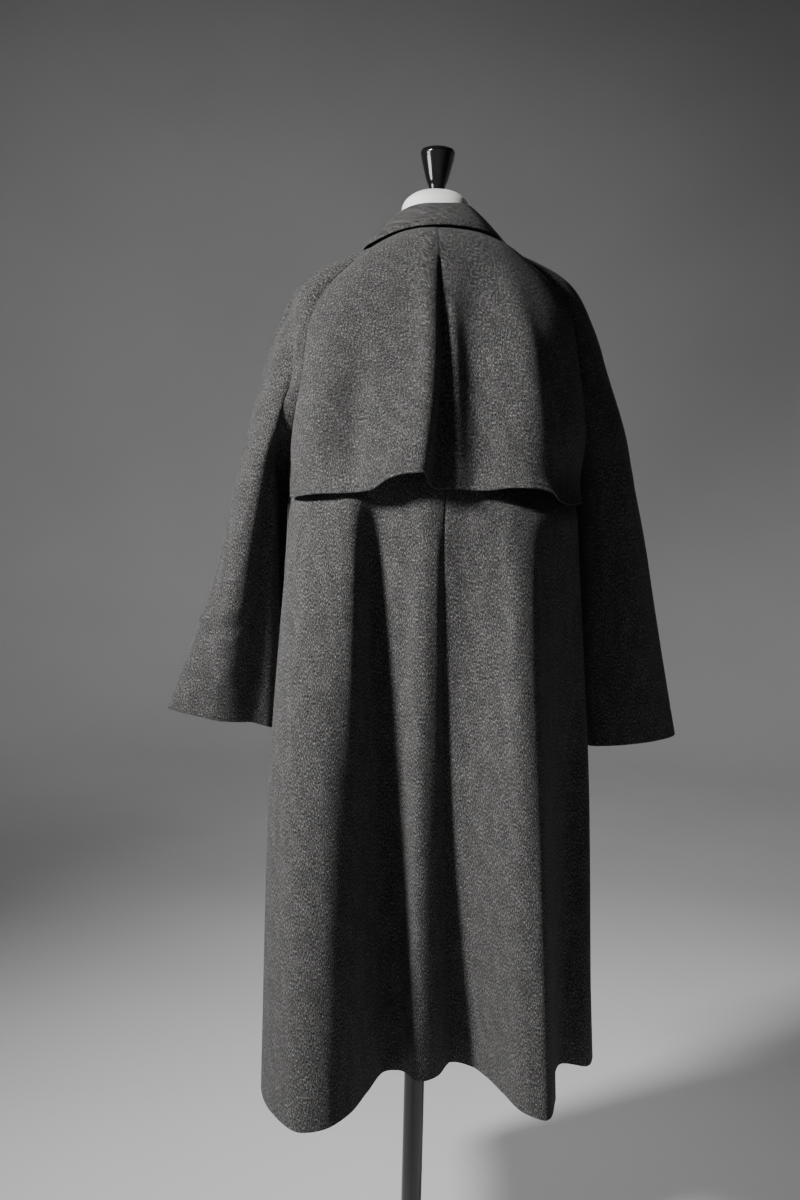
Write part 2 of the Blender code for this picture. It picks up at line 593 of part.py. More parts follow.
def read_grid(grid, levels, places, level, place):
    """A point of a fine grid, between its rows and columns."""
    row = np.interp(level, levels, np.arange(len(levels)))
    column = np.interp(place, places, np.arange(len(places)))
    top = min(int(row), len(levels) - 2)
    left = min(int(column), len(places) - 2)
    down = row - top
    over = column - left
    upper = grid[top, left] * (1 - over) + grid[top, left + 1] * over
    lower = grid[top + 1, left] * (1 - over) + grid[top + 1, left + 1] * over
    return upper * (1 - down) + lower * down


def make_flap(wool, collection):
    grid = flap_grid(flap_places())
    normals = grid_normals(grid, away_from_axis(grid))
    wall("storm_flap", grid, normals, CLOTH, wool, collection)


def make_collar(wool, collection):
    """The collar is one folded wall: the stand, the roll at its top and the fall."""
    left = np.array([row[1:] for row in COLLAR]).reshape(len(COLLAR), 3, 3)
    right = left[:0:-1] * (-1, 1, 1)
    right[..., 2] += RIGHT_COLLAR_RISE
    right[:, 2, [0, 2]] += np.array(RIGHT_EDGE_ADDS)[::-1] * (-1, 1)
    ring = np.concatenate([right, left])
    lengths = np.linalg.norm(np.diff(ring[:, 1], axis=0), axis=1)
    knots = np.concatenate([[0], np.cumsum(lengths)])
    at = np.linspace(0, knots[-1], COLLAR_COLUMNS)
    seam, roll, edge = smooth(knots, ring, at).transpose(1, 0, 2)
    along = unit(np.gradient(roll, axis=0))
    stand_out = unit(np.cross(along, roll - seam))
    stand_out *= -np.sign(np.sum(stand_out * away_from_axis(roll), axis=1))[:, None]
    fall_out = unit(np.cross(along, edge - roll))
    fall_out *= np.sign(fall_out[:, 2])[:, None]
    radius = COLLAR_ROLL + COLLAR_CLOTH / 2
    outer = []
    normals = []
    for share in np.linspace(0, 1, STAND_STEPS + 1)[:-1]:
        outer.append(seam + (roll - seam) * share + stand_out * radius)
        normals.append(stand_out)
    for share in np.linspace(0, 1, ROLL_STEPS + 1):
        turn = unit(stand_out * (1 - share) + fall_out * share)
        outer.append(roll + turn * radius)
        normals.append(turn)
    for share in np.linspace(0, 1, FALL_STEPS + 1)[1:]:
        outer.append(roll + (edge - roll) * share + fall_out * radius)
        normals.append(fall_out)
    wall("collar", np.array(outer), np.array(normals), COLLAR_CLOTH, wool, collection)


def shoulder_reach(side, heights):
    """How far the form's shoulder reaches to one side at these heights, just under the
    cloth along the top of the sleeve."""
    top = sleeve_grid(side, [0.0], np.linspace(0, 0.75, 60))[:, 0]
    slope = np.gradient(top[:, [0, 2]], axis=0)
    out = unit(np.stack([-slope[:, 1] * side, slope[:, 0] * side], axis=1))
    out *= np.sign(out[:, 1])[:, None]
    ridge = top[:, [0, 2]] - out * (CLOTH + SHOULDER_REST)
    return np.interp(heights, ridge[::-1, 1], np.abs(ridge[::-1, 0]))


def form_rows():
    """The form's level, half widths to the left and right, and depths, from foot to top."""
    rows = [row[1:] for row in TORSO]
    left = shoulder_reach(1, SHOULDER_LEVELS)
    right = shoulder_reach(-1, SHOULDER_LEVELS)
    span = SHOULDER_LEVELS[-1] - SHOULDER_LEVELS[0]
    for level, to_left, to_right in zip(SHOULDER_LEVELS, left, right):
        share = (level - SHOULDER_LEVELS[0]) / span
        back = SHOULDER_BACK[0] + (SHOULDER_BACK[1] - SHOULDER_BACK[0]) * share
        front = SHOULDER_FRONT[0] + (SHOULDER_FRONT[1] - SHOULDER_FRONT[0]) * share
        rows.append((level, to_left, to_right, back, front))
    return rows + [row[1:] for row in NECK]


def make_torso(linen, collection):
    points = []
    faces = []
    for level, to_left, to_right, back, front in form_rows():
        for step in range(TORSO_STEPS):
            turn = 2 * math.pi * step / TORSO_STEPS
            across = math.copysign(abs(math.cos(turn)) ** (2 / TORSO_ROUND), math.cos(turn))
            deep = math.copysign(abs(math.sin(turn)) ** (2 / TORSO_ROUND), math.sin(turn))
            points.append((across * (to_left if across > 0 else to_right),
                           deep * (back if deep > 0 else front), level))
    levels = len(points) // TORSO_STEPS
    for level in range(levels - 1):
        for step in range(TORSO_STEPS):
            a = level * TORSO_STEPS + step
            b = level * TORSO_STEPS + (step + 1) % TORSO_STEPS
            faces.append((a, b, b + TORSO_STEPS, a + TORSO_STEPS))
    faces.append(tuple(range(TORSO_STEPS - 1, -1, -1)))
    faces.append(tuple(range((levels - 1) * TORSO_STEPS, levels * TORSO_STEPS)))
    mesh = bpy.data.meshes.new("form_torso")
    mesh.from_pydata(points, [], faces)
    mesh.update()
    mesh.shade_smooth()
    mesh.set_sharp_from_angle(angle=math.radians(50))
    add_object("form_torso", mesh, linen, collection)


def make_stand(black, enamel, collection):
    turned("finial", FINIAL, black, collection)
    foot = TORSO_FOOT + STAND_RISE - REST_GAP
    bottom = HUB_BORE_FLOOR + REST_GAP
    turned("pole", ((0, foot), (POLE_RADIUS, foot), (POLE_RADIUS, bottom), (0, bottom)),
           black, collection, place=(0, 0, 0))
    bore = POLE_RADIUS + REST_GAP
    turned("base", ((0, HUB_BORE_FLOOR), (bore, HUB_BORE_FLOOR), (bore, HUB_TOP),
                    (HUB_RADIUS - 0.004, HUB_TOP), (HUB_RADIUS, HUB_TOP - 0.004),
                    (HUB_RADIUS + 0.001, 0.024), (HUB_RADIUS + 0.010, 0.018),
                    (BASE_RADIUS - 0.006, BASE_EDGE), (BASE_RADIUS, BASE_EDGE - 0.004),
                    (BASE_RADIUS, 0), (0, 0)), enamel, collection, place=(0, 0, 0))


def make_buttons(horn, collection):
    profile = [(BUTTON_RADIUS * out, BUTTON_DEPTH * up) for out, up in BUTTON_PROFILE]
    rows = np.linspace(0.3, 1.1, 200)
    lap = front_grid(np.linspace(-0.06, 0.06, 7), rows)
    for number, level in enumerate(BUTTON_LEVELS, 1):
        near = np.abs(lap[..., 2] - level) < BUTTON_RADIUS * BUTTON_SEAT
        surface = lap[..., 1][near].min()
        button = turned(f"button_{number}", profile, horn, collection, steps=20,
                        place=(0.0, surface - REST_GAP, level + STAND_RISE))
        button.rotation_euler = (math.radians(90), 0, 0)


def main():
    remove_old()
    collection = bpy.data.collections.new("wool_coat")
    bpy.context.scene.collection.children.link(collection)
    wool = material("charcoal wool", (0.030, 0.029, 0.028), 0.95)
    linen = material("white cotton", (0.80, 0.79, 0.77), 0.85)
    gloss = material("black lacquer", (0.010, 0.010, 0.010), 0.12)
    enamel = material("black enamel", (0.015, 0.015, 0.016), 0.40)
    horn = material("black button", (0.020, 0.019, 0.018), 0.30)
    make_coat(wool, collection)
    make_flap(wool, collection)
    make_collar(wool, collection)
    make_torso(linen, collection)
    make_stand(gloss, enamel, collection)
    make_buttons(horn, collection)


main()
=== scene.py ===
import math

import bmesh
import bpy
import numpy as np
from mathutils import Matrix


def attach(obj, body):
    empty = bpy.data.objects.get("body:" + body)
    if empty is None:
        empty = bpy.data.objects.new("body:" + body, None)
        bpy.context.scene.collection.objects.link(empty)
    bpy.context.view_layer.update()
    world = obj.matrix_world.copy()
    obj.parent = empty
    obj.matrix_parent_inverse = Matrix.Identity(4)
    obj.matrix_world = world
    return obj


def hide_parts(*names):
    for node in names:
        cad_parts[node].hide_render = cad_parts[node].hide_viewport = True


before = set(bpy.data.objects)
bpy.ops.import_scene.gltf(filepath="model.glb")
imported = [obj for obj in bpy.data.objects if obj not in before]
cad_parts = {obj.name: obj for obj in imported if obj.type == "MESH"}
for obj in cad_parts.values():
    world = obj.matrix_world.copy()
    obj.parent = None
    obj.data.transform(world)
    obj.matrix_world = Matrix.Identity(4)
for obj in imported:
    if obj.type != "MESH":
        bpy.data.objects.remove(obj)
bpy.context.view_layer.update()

# The looks of a wool coat on a limbless dress form. Metres, +Z up, the coat's back faces
# +Y and the wearer's left is +X. The folds below are those of the coat's solids, read
# here on a finer grid, with the creases, seams and stitching added to them.

# Driving dimensions of the coat
CLOTH = 0.0022          # thickness of the wool
SEAM = 0.0006           # gap between two sewn pieces
HEM_LEVEL = 0.310       # height of the hem where it would touch the form's axis
HEM_DROP = 0.130        # how much lower the hem lies for each metre that a fold stands out
KNEE_LEVEL = 0.660
WAIST_LEVEL = 1.070
FRONT_LAP = 0.030       # how far each front runs past the centre
FRONT_WIDTH = 0.400     # of one front, from the centre to its side seam
LAP_UNDER = (-0.26, -0.11)   # where along the right front it passes under the left one
UNDERARM_DROOP = 1.6    # how steeply the four seams' edges turn down where they meet
UNDERARM_FADE = 10      # and how soon that fades up the raglan seam
YOKE_TURN = math.radians(82)    # how far the body turns from its centre to a raglan seam
COLLAR_CLOTH = 0.0026
COLLAR_ROLL = 0.0028    # radius of the collar's fold line

# Driving dimensions of the dress form
STAND_RISE = 0.030      # how far the pole lifts the form and the coat above their tables
POLE_RADIUS = 0.015
BASE_RADIUS = 0.160
BASE_EDGE = 0.012
HUB_RADIUS = 0.032
HUB_TOP = 0.050
HUB_BORE_FLOOR = 0.014
TORSO_FOOT = 0.840
REST_GAP = 0.0004       # between pieces that rest on each other

# Skirt folds, from the right side seam round the back to the left side seam.
# Columns: fold, then x and y at the hem, at the knee and under the flap.
BACK_FOLDS = (
    ("right side seam", -0.268, 0.005, -0.243, 0.005, -0.209, -0.005),
    ("right side", -0.247, 0.044, -0.235, 0.047, -0.205, 0.052),
    ("right flank", -0.212, 0.042, -0.203, 0.054, -0.190, 0.092),
    ("right lobe side", -0.188, 0.090, -0.176, 0.090, -0.165, 0.120),
    ("right lobe edge", -0.170, 0.168, -0.154, 0.150, -0.138, 0.143),
    ("right lobe crest", -0.143, 0.219, -0.128, 0.203, -0.112, 0.157),
    ("right lobe inner", -0.117, 0.200, -0.103, 0.202, -0.090, 0.163),
    ("right rise", -0.101, 0.155, -0.080, 0.175, -0.070, 0.161),
    ("right slope", -0.086, 0.110, -0.060, 0.148, -0.050, 0.156),
    ("valley right", -0.068, 0.078, -0.040, 0.126, -0.024, 0.148),
    ("centre back", -0.040, 0.070, -0.016, 0.115, 0.001, 0.148),
    ("ridge right", -0.016, 0.108, -0.002, 0.130, 0.015, 0.151),
    ("ridge left", 0.012, 0.121, 0.024, 0.139, 0.034, 0.147),
    ("left valley", 0.034, 0.088, 0.046, 0.104, 0.058, 0.133),
    ("left valley floor", 0.054, 0.086, 0.066, 0.094, 0.078, 0.122),
    ("left slope", 0.086, 0.138, 0.094, 0.122, 0.100, 0.122),
    ("left lobe inner", 0.118, 0.192, 0.122, 0.157, 0.124, 0.125),
    ("left lobe crest", 0.152, 0.220, 0.155, 0.173, 0.145, 0.117),
    ("left lobe", 0.186, 0.220, 0.189, 0.164, 0.165, 0.105),
    ("left lobe side", 0.217, 0.165, 0.214, 0.122, 0.186, 0.080),
    ("left side", 0.229, 0.092, 0.225, 0.068, 0.199, 0.042),
    ("left side seam", 0.216, 0.005, 0.209, 0.004, 0.200, -0.002),
)

# The same from the right side seam round the front to the left side seam.
FRONT_FOLDS = (
    ("right side seam", -0.268, 0.005, -0.243, 0.005, -0.209, -0.005),
    ("right hip", -0.260, -0.076, -0.232, -0.062, -0.200, -0.050),
    ("right lobe", -0.224, -0.160, -0.204, -0.124, -0.179, -0.090),
    ("right lobe inner", -0.168, -0.196, -0.156, -0.160, -0.143, -0.119),
    ("right valley", -0.118, -0.144, -0.114, -0.140, -0.106, -0.134),
    ("right front", -0.070, -0.190, -0.069, -0.172, -0.067, -0.149),
    ("right lap", -0.034, -0.203, -0.034, -0.181, -0.034, -0.156),
    ("centre front", 0.000, -0.206, 0.000, -0.183, 0.000, -0.158),
    ("left lap", 0.034, -0.205, 0.034, -0.182, 0.034, -0.156),
    ("left front", 0.068, -0.192, 0.068, -0.172, 0.066, -0.149),
    ("left valley", 0.112, -0.150, 0.112, -0.140, 0.105, -0.133),
    ("left lobe inner", 0.156, -0.194, 0.150, -0.156, 0.139, -0.118),
    ("left lobe", 0.190, -0.152, 0.174, -0.118, 0.160, -0.092),
    ("left hip", 0.204, -0.072, 0.190, -0.058, 0.182, -0.055),
    ("left side seam", 0.216, 0.005, 0.209, 0.004, 0.200, -0.002),
)

# The yoke of the coat on its left. Columns: level, y and z at the centre back, x, y and z
# of the back raglan seam, x, y and z along the top of the sleeve, x, y and z of the front
# raglan seam, y and z at the centre front, how round the sleeve is there (0 to 1) and
# half the depth that it bulges to.
YOKE = (
    ("underarm", 0.150, 1.140, 0.203, -0.005, 1.130, 0.270, -0.018, 1.122,
     0.203, -0.005, 1.130, -0.156, 1.140, 1.00, 0.078),
    ("armhole", 0.149, 1.200, 0.199, 0.050, 1.190, 0.256, -0.014, 1.186,
     0.198, -0.060, 1.186, -0.153, 1.190, 0.62, 0.080),
    ("chest", 0.147, 1.270, 0.188, 0.073, 1.262, 0.239, -0.010, 1.262,
     0.185, -0.078, 1.252, -0.147, 1.250, 0.22, 0.082),
    ("blade", 0.139, 1.340, 0.180, 0.070, 1.330, 0.218, -0.006, 1.334,
     0.174, -0.074, 1.318, -0.134, 1.310, 0.08, 0.078),
    ("shoulder", 0.125, 1.401, 0.157, 0.064, 1.376, 0.188, -0.003, 1.392,
     0.148, -0.066, 1.366, -0.112, 1.356, 0.03, 0.070),
    ("slope", 0.101, 1.453, 0.114, 0.054, 1.415, 0.130, 0.000, 1.427,
     0.106, -0.054, 1.403, -0.090, 1.390, 0.00, 0.060),
    ("neck", 0.072, 1.4685, 0.060, 0.042, 1.453, 0.070, 0.002, 1.450,
     0.060, -0.040, 1.436, -0.074, 1.408, 0.00, 0.050),
)
YOKE_KNOTS = (0.86, 0.915, 0.985, 1.055, 1.110, 1.160, 1.195)
YOKE_SPAN = YOKE_KNOTS[-1] - YOKE_KNOTS[0]
SKIRT_KNOTS = (0.0, 0.38, 0.79)

# The sleeves below the underarm. Columns: level, x, y and z along the outer arm, x, y and z
# along the underarm seam, half of the depth from front to back.
LEFT_SLEEVE = (
    ("upper arm", 0.286, -0.026, 1.045, 0.202, -0.020, 1.040, 0.070),
    ("elbow", 0.308, -0.042, 0.955, 0.202, -0.036, 0.935, 0.058),
    ("forearm", 0.338, -0.068, 0.862, 0.204, -0.060, 0.838, 0.046),
    ("cuff", 0.366, -0.092, 0.784, 0.208, -0.081, 0.757, 0.036),
)
RIGHT_SLEEVE = (
    ("upper arm", 0.321, -0.022, 1.045, 0.219, -0.010, 1.040, 0.070),
    ("elbow", 0.343, -0.024, 0.945, 0.229, -0.012, 0.930, 0.058),
    ("forearm", 0.364, -0.026, 0.850, 0.239, -0.014, 0.836, 0.046),
    ("cuff", 0.384, -0.026, 0.757, 0.247, -0.016, 0.742, 0.037),
)
SLEEVE_KNOTS = (1.0, 1.10, 1.21, 1.32, 1.42)
# What the right side adds to the yoke: level by level, outwards and upwards.
RIGHT_YOKE_ADDS = (
    ("underarm", 0.029, 0.000),
    ("armhole", 0.026, 0.002),
    ("chest", 0.015, 0.006),
    ("blade", 0.010, 0.008),
    ("shoulder", 0.005, 0.010),
    ("slope", 0.005, 0.007),
    ("neck", 0.000, 0.003),
)

# Folds of the storm flap from right to left. Columns: fold, place along the back (-1 right
# seam, 0 centre, 1 left seam) and lift off the back at the chest, then place, lift and
# height at the flap's hem.
FLAP_FOLDS = (
    ("right edge", -0.982, 0.0034, -0.82, 0.013, 1.102),
    ("right side", -0.84, 0.013, -0.70, 0.027, 1.102),
    ("right lobe edge", -0.64, 0.024, -0.58, 0.038, 1.101),
    ("right lobe", -0.51, 0.030, -0.475, 0.045, 1.106),
    ("right lobe crest", -0.40, 0.032, -0.425, 0.052, 1.115),
    ("right lobe inner", -0.31, 0.028, -0.330, 0.052, 1.119),
    ("right slope", -0.23, 0.018, -0.245, 0.041, 1.118),
    ("right valley", -0.165, 0.010, -0.163, 0.024, 1.114),
    ("right of pleat", -0.09, 0.008, -0.097, 0.018, 1.113),
    ("pleat right fold", -0.015, 0.0085, -0.030, 0.019, 1.114),
    ("pleat right wall", 0.012, 0.0050, 0.008, 0.009, 1.114),
    ("pleat floor", 0.036, 0.0032, 0.040, 0.0045, 1.113),
    ("pleat left wall", 0.056, 0.0050, 0.072, 0.010, 1.116),
    ("pleat left turn", 0.078, 0.0125, 0.102, 0.032, 1.126),
    ("pleat left fold", 0.104, 0.0175, 0.130, 0.048, 1.134),
    ("left lobe inner", 0.165, 0.0175, 0.185, 0.050, 1.133),
    ("left lobe", 0.250, 0.0140, 0.245, 0.044, 1.127),
    ("left slope", 0.350, 0.0105, 0.330, 0.033, 1.111),
    ("left valley", 0.480, 0.0068, 0.435, 0.019, 1.108),
    ("left side lobe", 0.660, 0.0110, 0.600, 0.022, 1.106),
    ("left side", 0.840, 0.0085, 0.720, 0.018, 1.102),
    ("left edge", 0.982, 0.0034, 0.820, 0.010, 1.099),
)
FLAP_TOP_LIFT = 0.0034      # lift of the flap where it is sewn in at the neck
FLAP_CHEST = 0.42           # how far up the flap the chest lies
FLAP_PLEAT_TOP = 0.90       # and the top of its pleat
FLAP_TOP_ROW = 1.184        # row of the back where the flap ends, under the collar

# The collar, from the centre back to its left tip. Columns: place, x, y and z of the
# neck seam, of the axis of the roll at the top and of the outer edge.
COLLAR = (
    ("centre back", 0.000, 0.0740, 1.4720, 0.000, 0.0590, 1.4985, 0.002, 0.0930, 1.4655),
    ("back", 0.036, 0.0625, 1.4665, 0.032, 0.0490, 1.4970, 0.056, 0.0780, 1.4595),
    ("side back", 0.061, 0.0390, 1.4580, 0.048, 0.0260, 1.4930, 0.087, 0.0450, 1.4485),
    ("side", 0.0720, 0.0020, 1.4530, 0.0535, -0.0040, 1.4890, 0.099, -0.0110, 1.4420),
    ("side front", 0.062, -0.0400, 1.4390, 0.0500, -0.0380, 1.4760, 0.093, -0.0660, 1.4160),
    ("front", 0.038, -0.0655, 1.4240, 0.0330, -0.0600, 1.4590, 0.070, -0.1080, 1.3880),
    ("front end", 0.004, -0.0780, 1.4120, 0.0045, -0.0735, 1.4450, 0.034, -0.1300, 1.3640),
)
# What the right side adds: the whole collar's rise, then its edge's own from the centre
# to the tip, outwards and upwards.
RIGHT_COLLAR_RISE = 0.003
RIGHT_EDGE_ADDS = ((0.000, -0.002), (0.002, -0.003), (0.008, -0.001),
                   (0.011, 0.002), (0.006, 0.003), (0.001, 0.001))

# The dress form up to its shoulders, and its neck. Columns: level, height, half width to
# the left and to the right, depth to the back and to the front.
TORSO = (
    ("foot", 0.840, 0.156, 0.156, 0.098, 0.092),
    ("hip", 0.900, 0.164, 0.164, 0.106, 0.098),
    ("waist", 1.010, 0.140, 0.140, 0.088, 0.088),
    ("ribs", 1.110, 0.150, 0.150, 0.098, 0.104),
    ("chest", 1.210, 0.164, 0.166, 0.112, 0.112),
    ("blade", 1.300, 0.174, 0.178, 0.106, 0.098),
    ("shoulder end", 1.352, 0.184, 0.190, 0.092, 0.082),
)
NECK = (
    ("neck foot", 1.4480, 0.0570, 0.0570, 0.0500, 0.0380),
    ("neck root", 1.4620, 0.0530, 0.0530, 0.0480, 0.0470),
    ("neck", 1.482, 0.0480, 0.0480, 0.0470, 0.0470),
    ("neck top", 1.500, 0.0485, 0.0485, 0.0470, 0.0470),
    ("cap side", 1.512, 0.0450, 0.0450, 0.0440, 0.0440),
    ("cap", 1.5210, 0.0360, 0.0360, 0.0350, 0.0350),
    ("cap crown", 1.5275, 0.0230, 0.0230, 0.0225, 0.0225),
    ("cap top", 1.5296, 0.0130, 0.0130, 0.0130, 0.0130),
)
SHOULDER_LEVELS = (1.380, 1.392, 1.404, 1.416, 1.427, 1.437)
SHOULDER_BACK = (0.080, 0.052)      # depth of the form from the shoulder end to the neck
SHOULDER_FRONT = (0.060, 0.028)
SHOULDER_REST = 0.0014              # from the form's shoulders to the cloth on them
TORSO_ROUND = 2.2                   # 2 is an ellipse, more is squarer
# The finial, from the top of its outer side down: radius and height.
FINIAL = ((0.0, 1.5895), (0.0100, 1.5890), (0.0180, 1.5872), (0.0226, 1.5846),
          (0.0240, 1.5815), (0.0234, 1.5760), (0.0198, 1.5600), (0.0148, 1.5420),
          (0.0118, 1.5340), (0.0112, 1.5300), (0.0, 1.5300))

BUTTON_LEVELS = (1.300, 1.155, 1.010, 0.865)
BUTTON_RADIUS = 0.014
BUTTON_DEPTH = 0.0042
# A button from the middle of its face to its underside: shares of the radius and depth.
BUTTON_PROFILE = ((0.0, 0.70), (0.55, 0.70), (0.78, 1.0), (0.92, 1.0), (1.0, 0.62),
                  (0.96, 0.2), (0.80, 0.0), (0.0, 0.0))
BUTTON_SEAT = 0.8           # share of a button's radius that rests on the cloth


def smooth(knots, values, at, steady=False):
    """Smooth curve through the values at the knots, read at the places `at`. A steady
    curve never swings past its values."""
    knots = np.asarray(knots, dtype=float)
    values = np.asarray(values, dtype=float)
    at = np.asarray(at, dtype=float)
    shape = (-1,) + (1,) * (values.ndim - 1)
    step = np.diff(knots)
    slope = np.diff(values, axis=0) / step.reshape(shape)
    tangent = np.empty_like(values)
    tangent[0] = slope[0]
    tangent[-1] = slope[-1]
    before = step[:-1].reshape(shape)
    after = step[1:].reshape(shape)
    tangent[1:-1] = (slope[:-1] * after + slope[1:] * before) / (before + after)
    if steady:
        product = slope[:-1] * slope[1:]
        total = np.where(product > 0, slope[:-1] + slope[1:], 1.0)
        tangent[1:-1] = np.where(product > 0, 2 * product / total, 0.0)
    span = np.clip(np.searchsorted(knots, at, side="right") - 1, 0, len(step) - 1)
    t = ((at - knots[span]) / step[span]).reshape(shape)
    h = step[span].reshape(shape)
    return (values[span] * (1 + 2 * t) * (1 - t) ** 2 + tangent[span] * h * t * (1 - t) ** 2
            + values[span + 1] * t * t * (3 - 2 * t) + tangent[span + 1] * h * t * t * (t - 1))


def ease(value, low, high):
    """0 below low, 1 above high, with a soft ramp between."""
    t = np.clip((np.asarray(value, dtype=float) - low) / (high - low), 0, 1)
    return t * t * (3 - 2 * t)


def unit(vectors):
    return vectors / np.maximum(np.linalg.norm(vectors, axis=-1, keepdims=True), 1e-9)


def run_of(points):
    """Distance of each point of a line from its first one, along the line."""
    steps = np.linalg.norm(np.diff(points, axis=0), axis=1)
    return np.concatenate([[0.0], np.cumsum(steps)])


def read_line(values, run, at):
    """A line's points, or other values on it, at distances along it."""
    return np.stack([np.interp(at, run, axis) for axis in values.T], axis=1)


def yoke_rows(side):
    """The yoke's table for one side, with that side's sign and its extra ease."""
    rows = np.array([row[1:] for row in YOKE])
    if side < 0:
        for row, (_, out, up) in zip(rows, RIGHT_YOKE_ADDS):
            row[5] += out
            row[[4, 7, 10]] += up
            row[[2, 8]] += out * 0.2
    rows[:, [2, 5, 8]] *= side
    return rows


YOKE_SIDES = {1: yoke_rows(1), -1: yoke_rows(-1)}


def fold_fractions(folds, centre_name):
    """Place of each fold along its row: -1 and 1 at the side seams, 0 at the centre."""
    levels = np.array([row[1:] for row in folds]).reshape(len(folds), 3, 2)
    chords = np.linalg.norm(np.diff(levels, axis=0), axis=2).mean(axis=1)
    along = np.concatenate([[0.0], np.cumsum(chords)])
    centre = along[[row[0] for row in folds].index(centre_name)]
    along -= centre
    return np.where(along < 0, along / -along[0], along / along[-1])


def body_grid(folds, fractions, front, columns, rows):
    """Points of the coat's back or front: rows run from the hem up, columns across."""
    levels = np.array([row[1:] for row in folds]).reshape(len(folds), 3, 2)
    lines = []
    for place, fold in zip(fractions, levels):
        reach = np.linalg.norm(fold[0])
        points = [(*fold[0], HEM_LEVEL - HEM_DROP * reach),
                  (*fold[1], KNEE_LEVEL), (*fold[2], WAIST_LEVEL)]
        yoke = YOKE_SIDES[1 if place >= 0 else -1]
        for row in yoke:
            seam = row[8:11] if front else row[2:5]
            centre = row[11:13] if front else row[0:2]
            turn = YOKE_TURN * abs(place)
            across = seam[0] * math.sin(turn) / math.sin(YOKE_TURN)
            rise = (1 - math.cos(turn)) / (1 - math.cos(YOKE_TURN))
            points.append((across, centre[0] + (seam[1] - centre[0]) * rise,
                           centre[1] + (seam[2] - centre[1]) * rise))
        lines.append(points)
    lines = np.array(lines)
    knots = SKIRT_KNOTS + YOKE_KNOTS
    by_row = smooth(knots, lines.transpose(1, 0, 2), rows, steady=True)
    return smooth(fractions, by_row.transpose(1, 0, 2), columns).transpose(1, 0, 2)


BACK_PLACES = fold_fractions(BACK_FOLDS, "centre back")
FRONT_PLACES = fold_fractions(FRONT_FOLDS, "centre front")


def back_grid(columns, rows):
    return body_grid(BACK_FOLDS, BACK_PLACES, False, columns, rows)


def front_grid(columns, rows):
    return body_grid(FRONT_FOLDS, FRONT_PLACES, True, columns, rows)


def sleeve_grid(side, turns, rows):
    """Points of one sleeve. Turns run from -1 at the front seam, over the arm, to 1 at
    the back seam. Rows run from 0 at the neck, past 1 at the underarm, to the cuff."""
    rows = np.asarray(rows, dtype=float)
    yoke = YOKE_SIDES[side][::-1]
    tube = np.array([row[1:] for row in (LEFT_SLEEVE if side > 0 else RIGHT_SLEEVE)])
    tube[:, [0, 3]] *= side
    knots = (YOKE_KNOTS[-1] - np.array(YOKE_KNOTS[::-1])) / YOKE_SPAN
    knots = np.concatenate([knots, SLEEVE_KNOTS[1:]])
    apex = smooth(knots, np.concatenate([yoke[:, 5:8], tube[:, 0:3]]), rows)
    roundness = smooth(knots, np.append(yoke[:, 13], np.ones(len(tube))), rows, steady=True)
    depth = smooth(knots, np.append(yoke[:, 14], tube[:, 6]), rows, steady=True)
    # Down to the underarm the sleeve is sewn to the body, below it to itself.
    body_rows = YOKE_KNOTS[-1] - np.minimum(rows, 1.0) * YOKE_SPAN
    back = back_grid(np.array([float(side)]), body_rows)[:, 0]
    front = front_grid(np.array([float(side)]), body_rows)[:, 0]
    underarm = smooth(SLEEVE_KNOTS, np.concatenate([yoke[-1:, 2:5], tube[:, 3:6]]), rows)
    below = (rows > 1.0)[:, None]
    back = np.where(below, underarm, back)
    front = np.where(below, underarm, front)
    roundness = roundness[:, None, None]
    depth = depth[:, None, None]
    middle = (back + front) / 2
    rise = (apex - middle)[:, None, :]
    gap = (back - front) / 2
    half = np.linalg.norm(gap, axis=1)[:, None, None]
    backward = unit(gap + np.array([0, 1e-4, 0]))[:, None, :]
    turns = np.asarray(turns, dtype=float)[None, :, None]
    up = ((1 - roundness) * np.cos(math.pi * turns / 2)
          + roundness * (1 + np.cos(math.pi * turns)) / 2)
    across = ((1 - roundness) * half * np.sin(math.pi * turns / 2)
              + roundness * (depth * np.sin(math.pi * turns) + half * turns))
    return middle[:, None, :] + rise * up + backward * across


def grid_normals(grid, outward):
    """Unit normals of a grid of points, on the side that `outward` points to."""
    normals = unit(np.cross(np.gradient(grid, axis=1), np.gradient(grid, axis=0)))
    turn = np.sign(np.sum(normals * outward, axis=-1).sum())
    return normals * turn


def away_from_axis(grid):
    return unit(grid * (1, 1, 0))


def pull_in(grid):
    """Draw the side edges of a grid in, so that two sewn pieces keep a gap."""
    grid = grid.copy()
    grid[:, 0] += unit(grid[:, 1] - grid[:, 0]) * SEAM / 2
    grid[:, -1] += unit(grid[:, -2] - grid[:, -1]) * SEAM / 2
    return grid


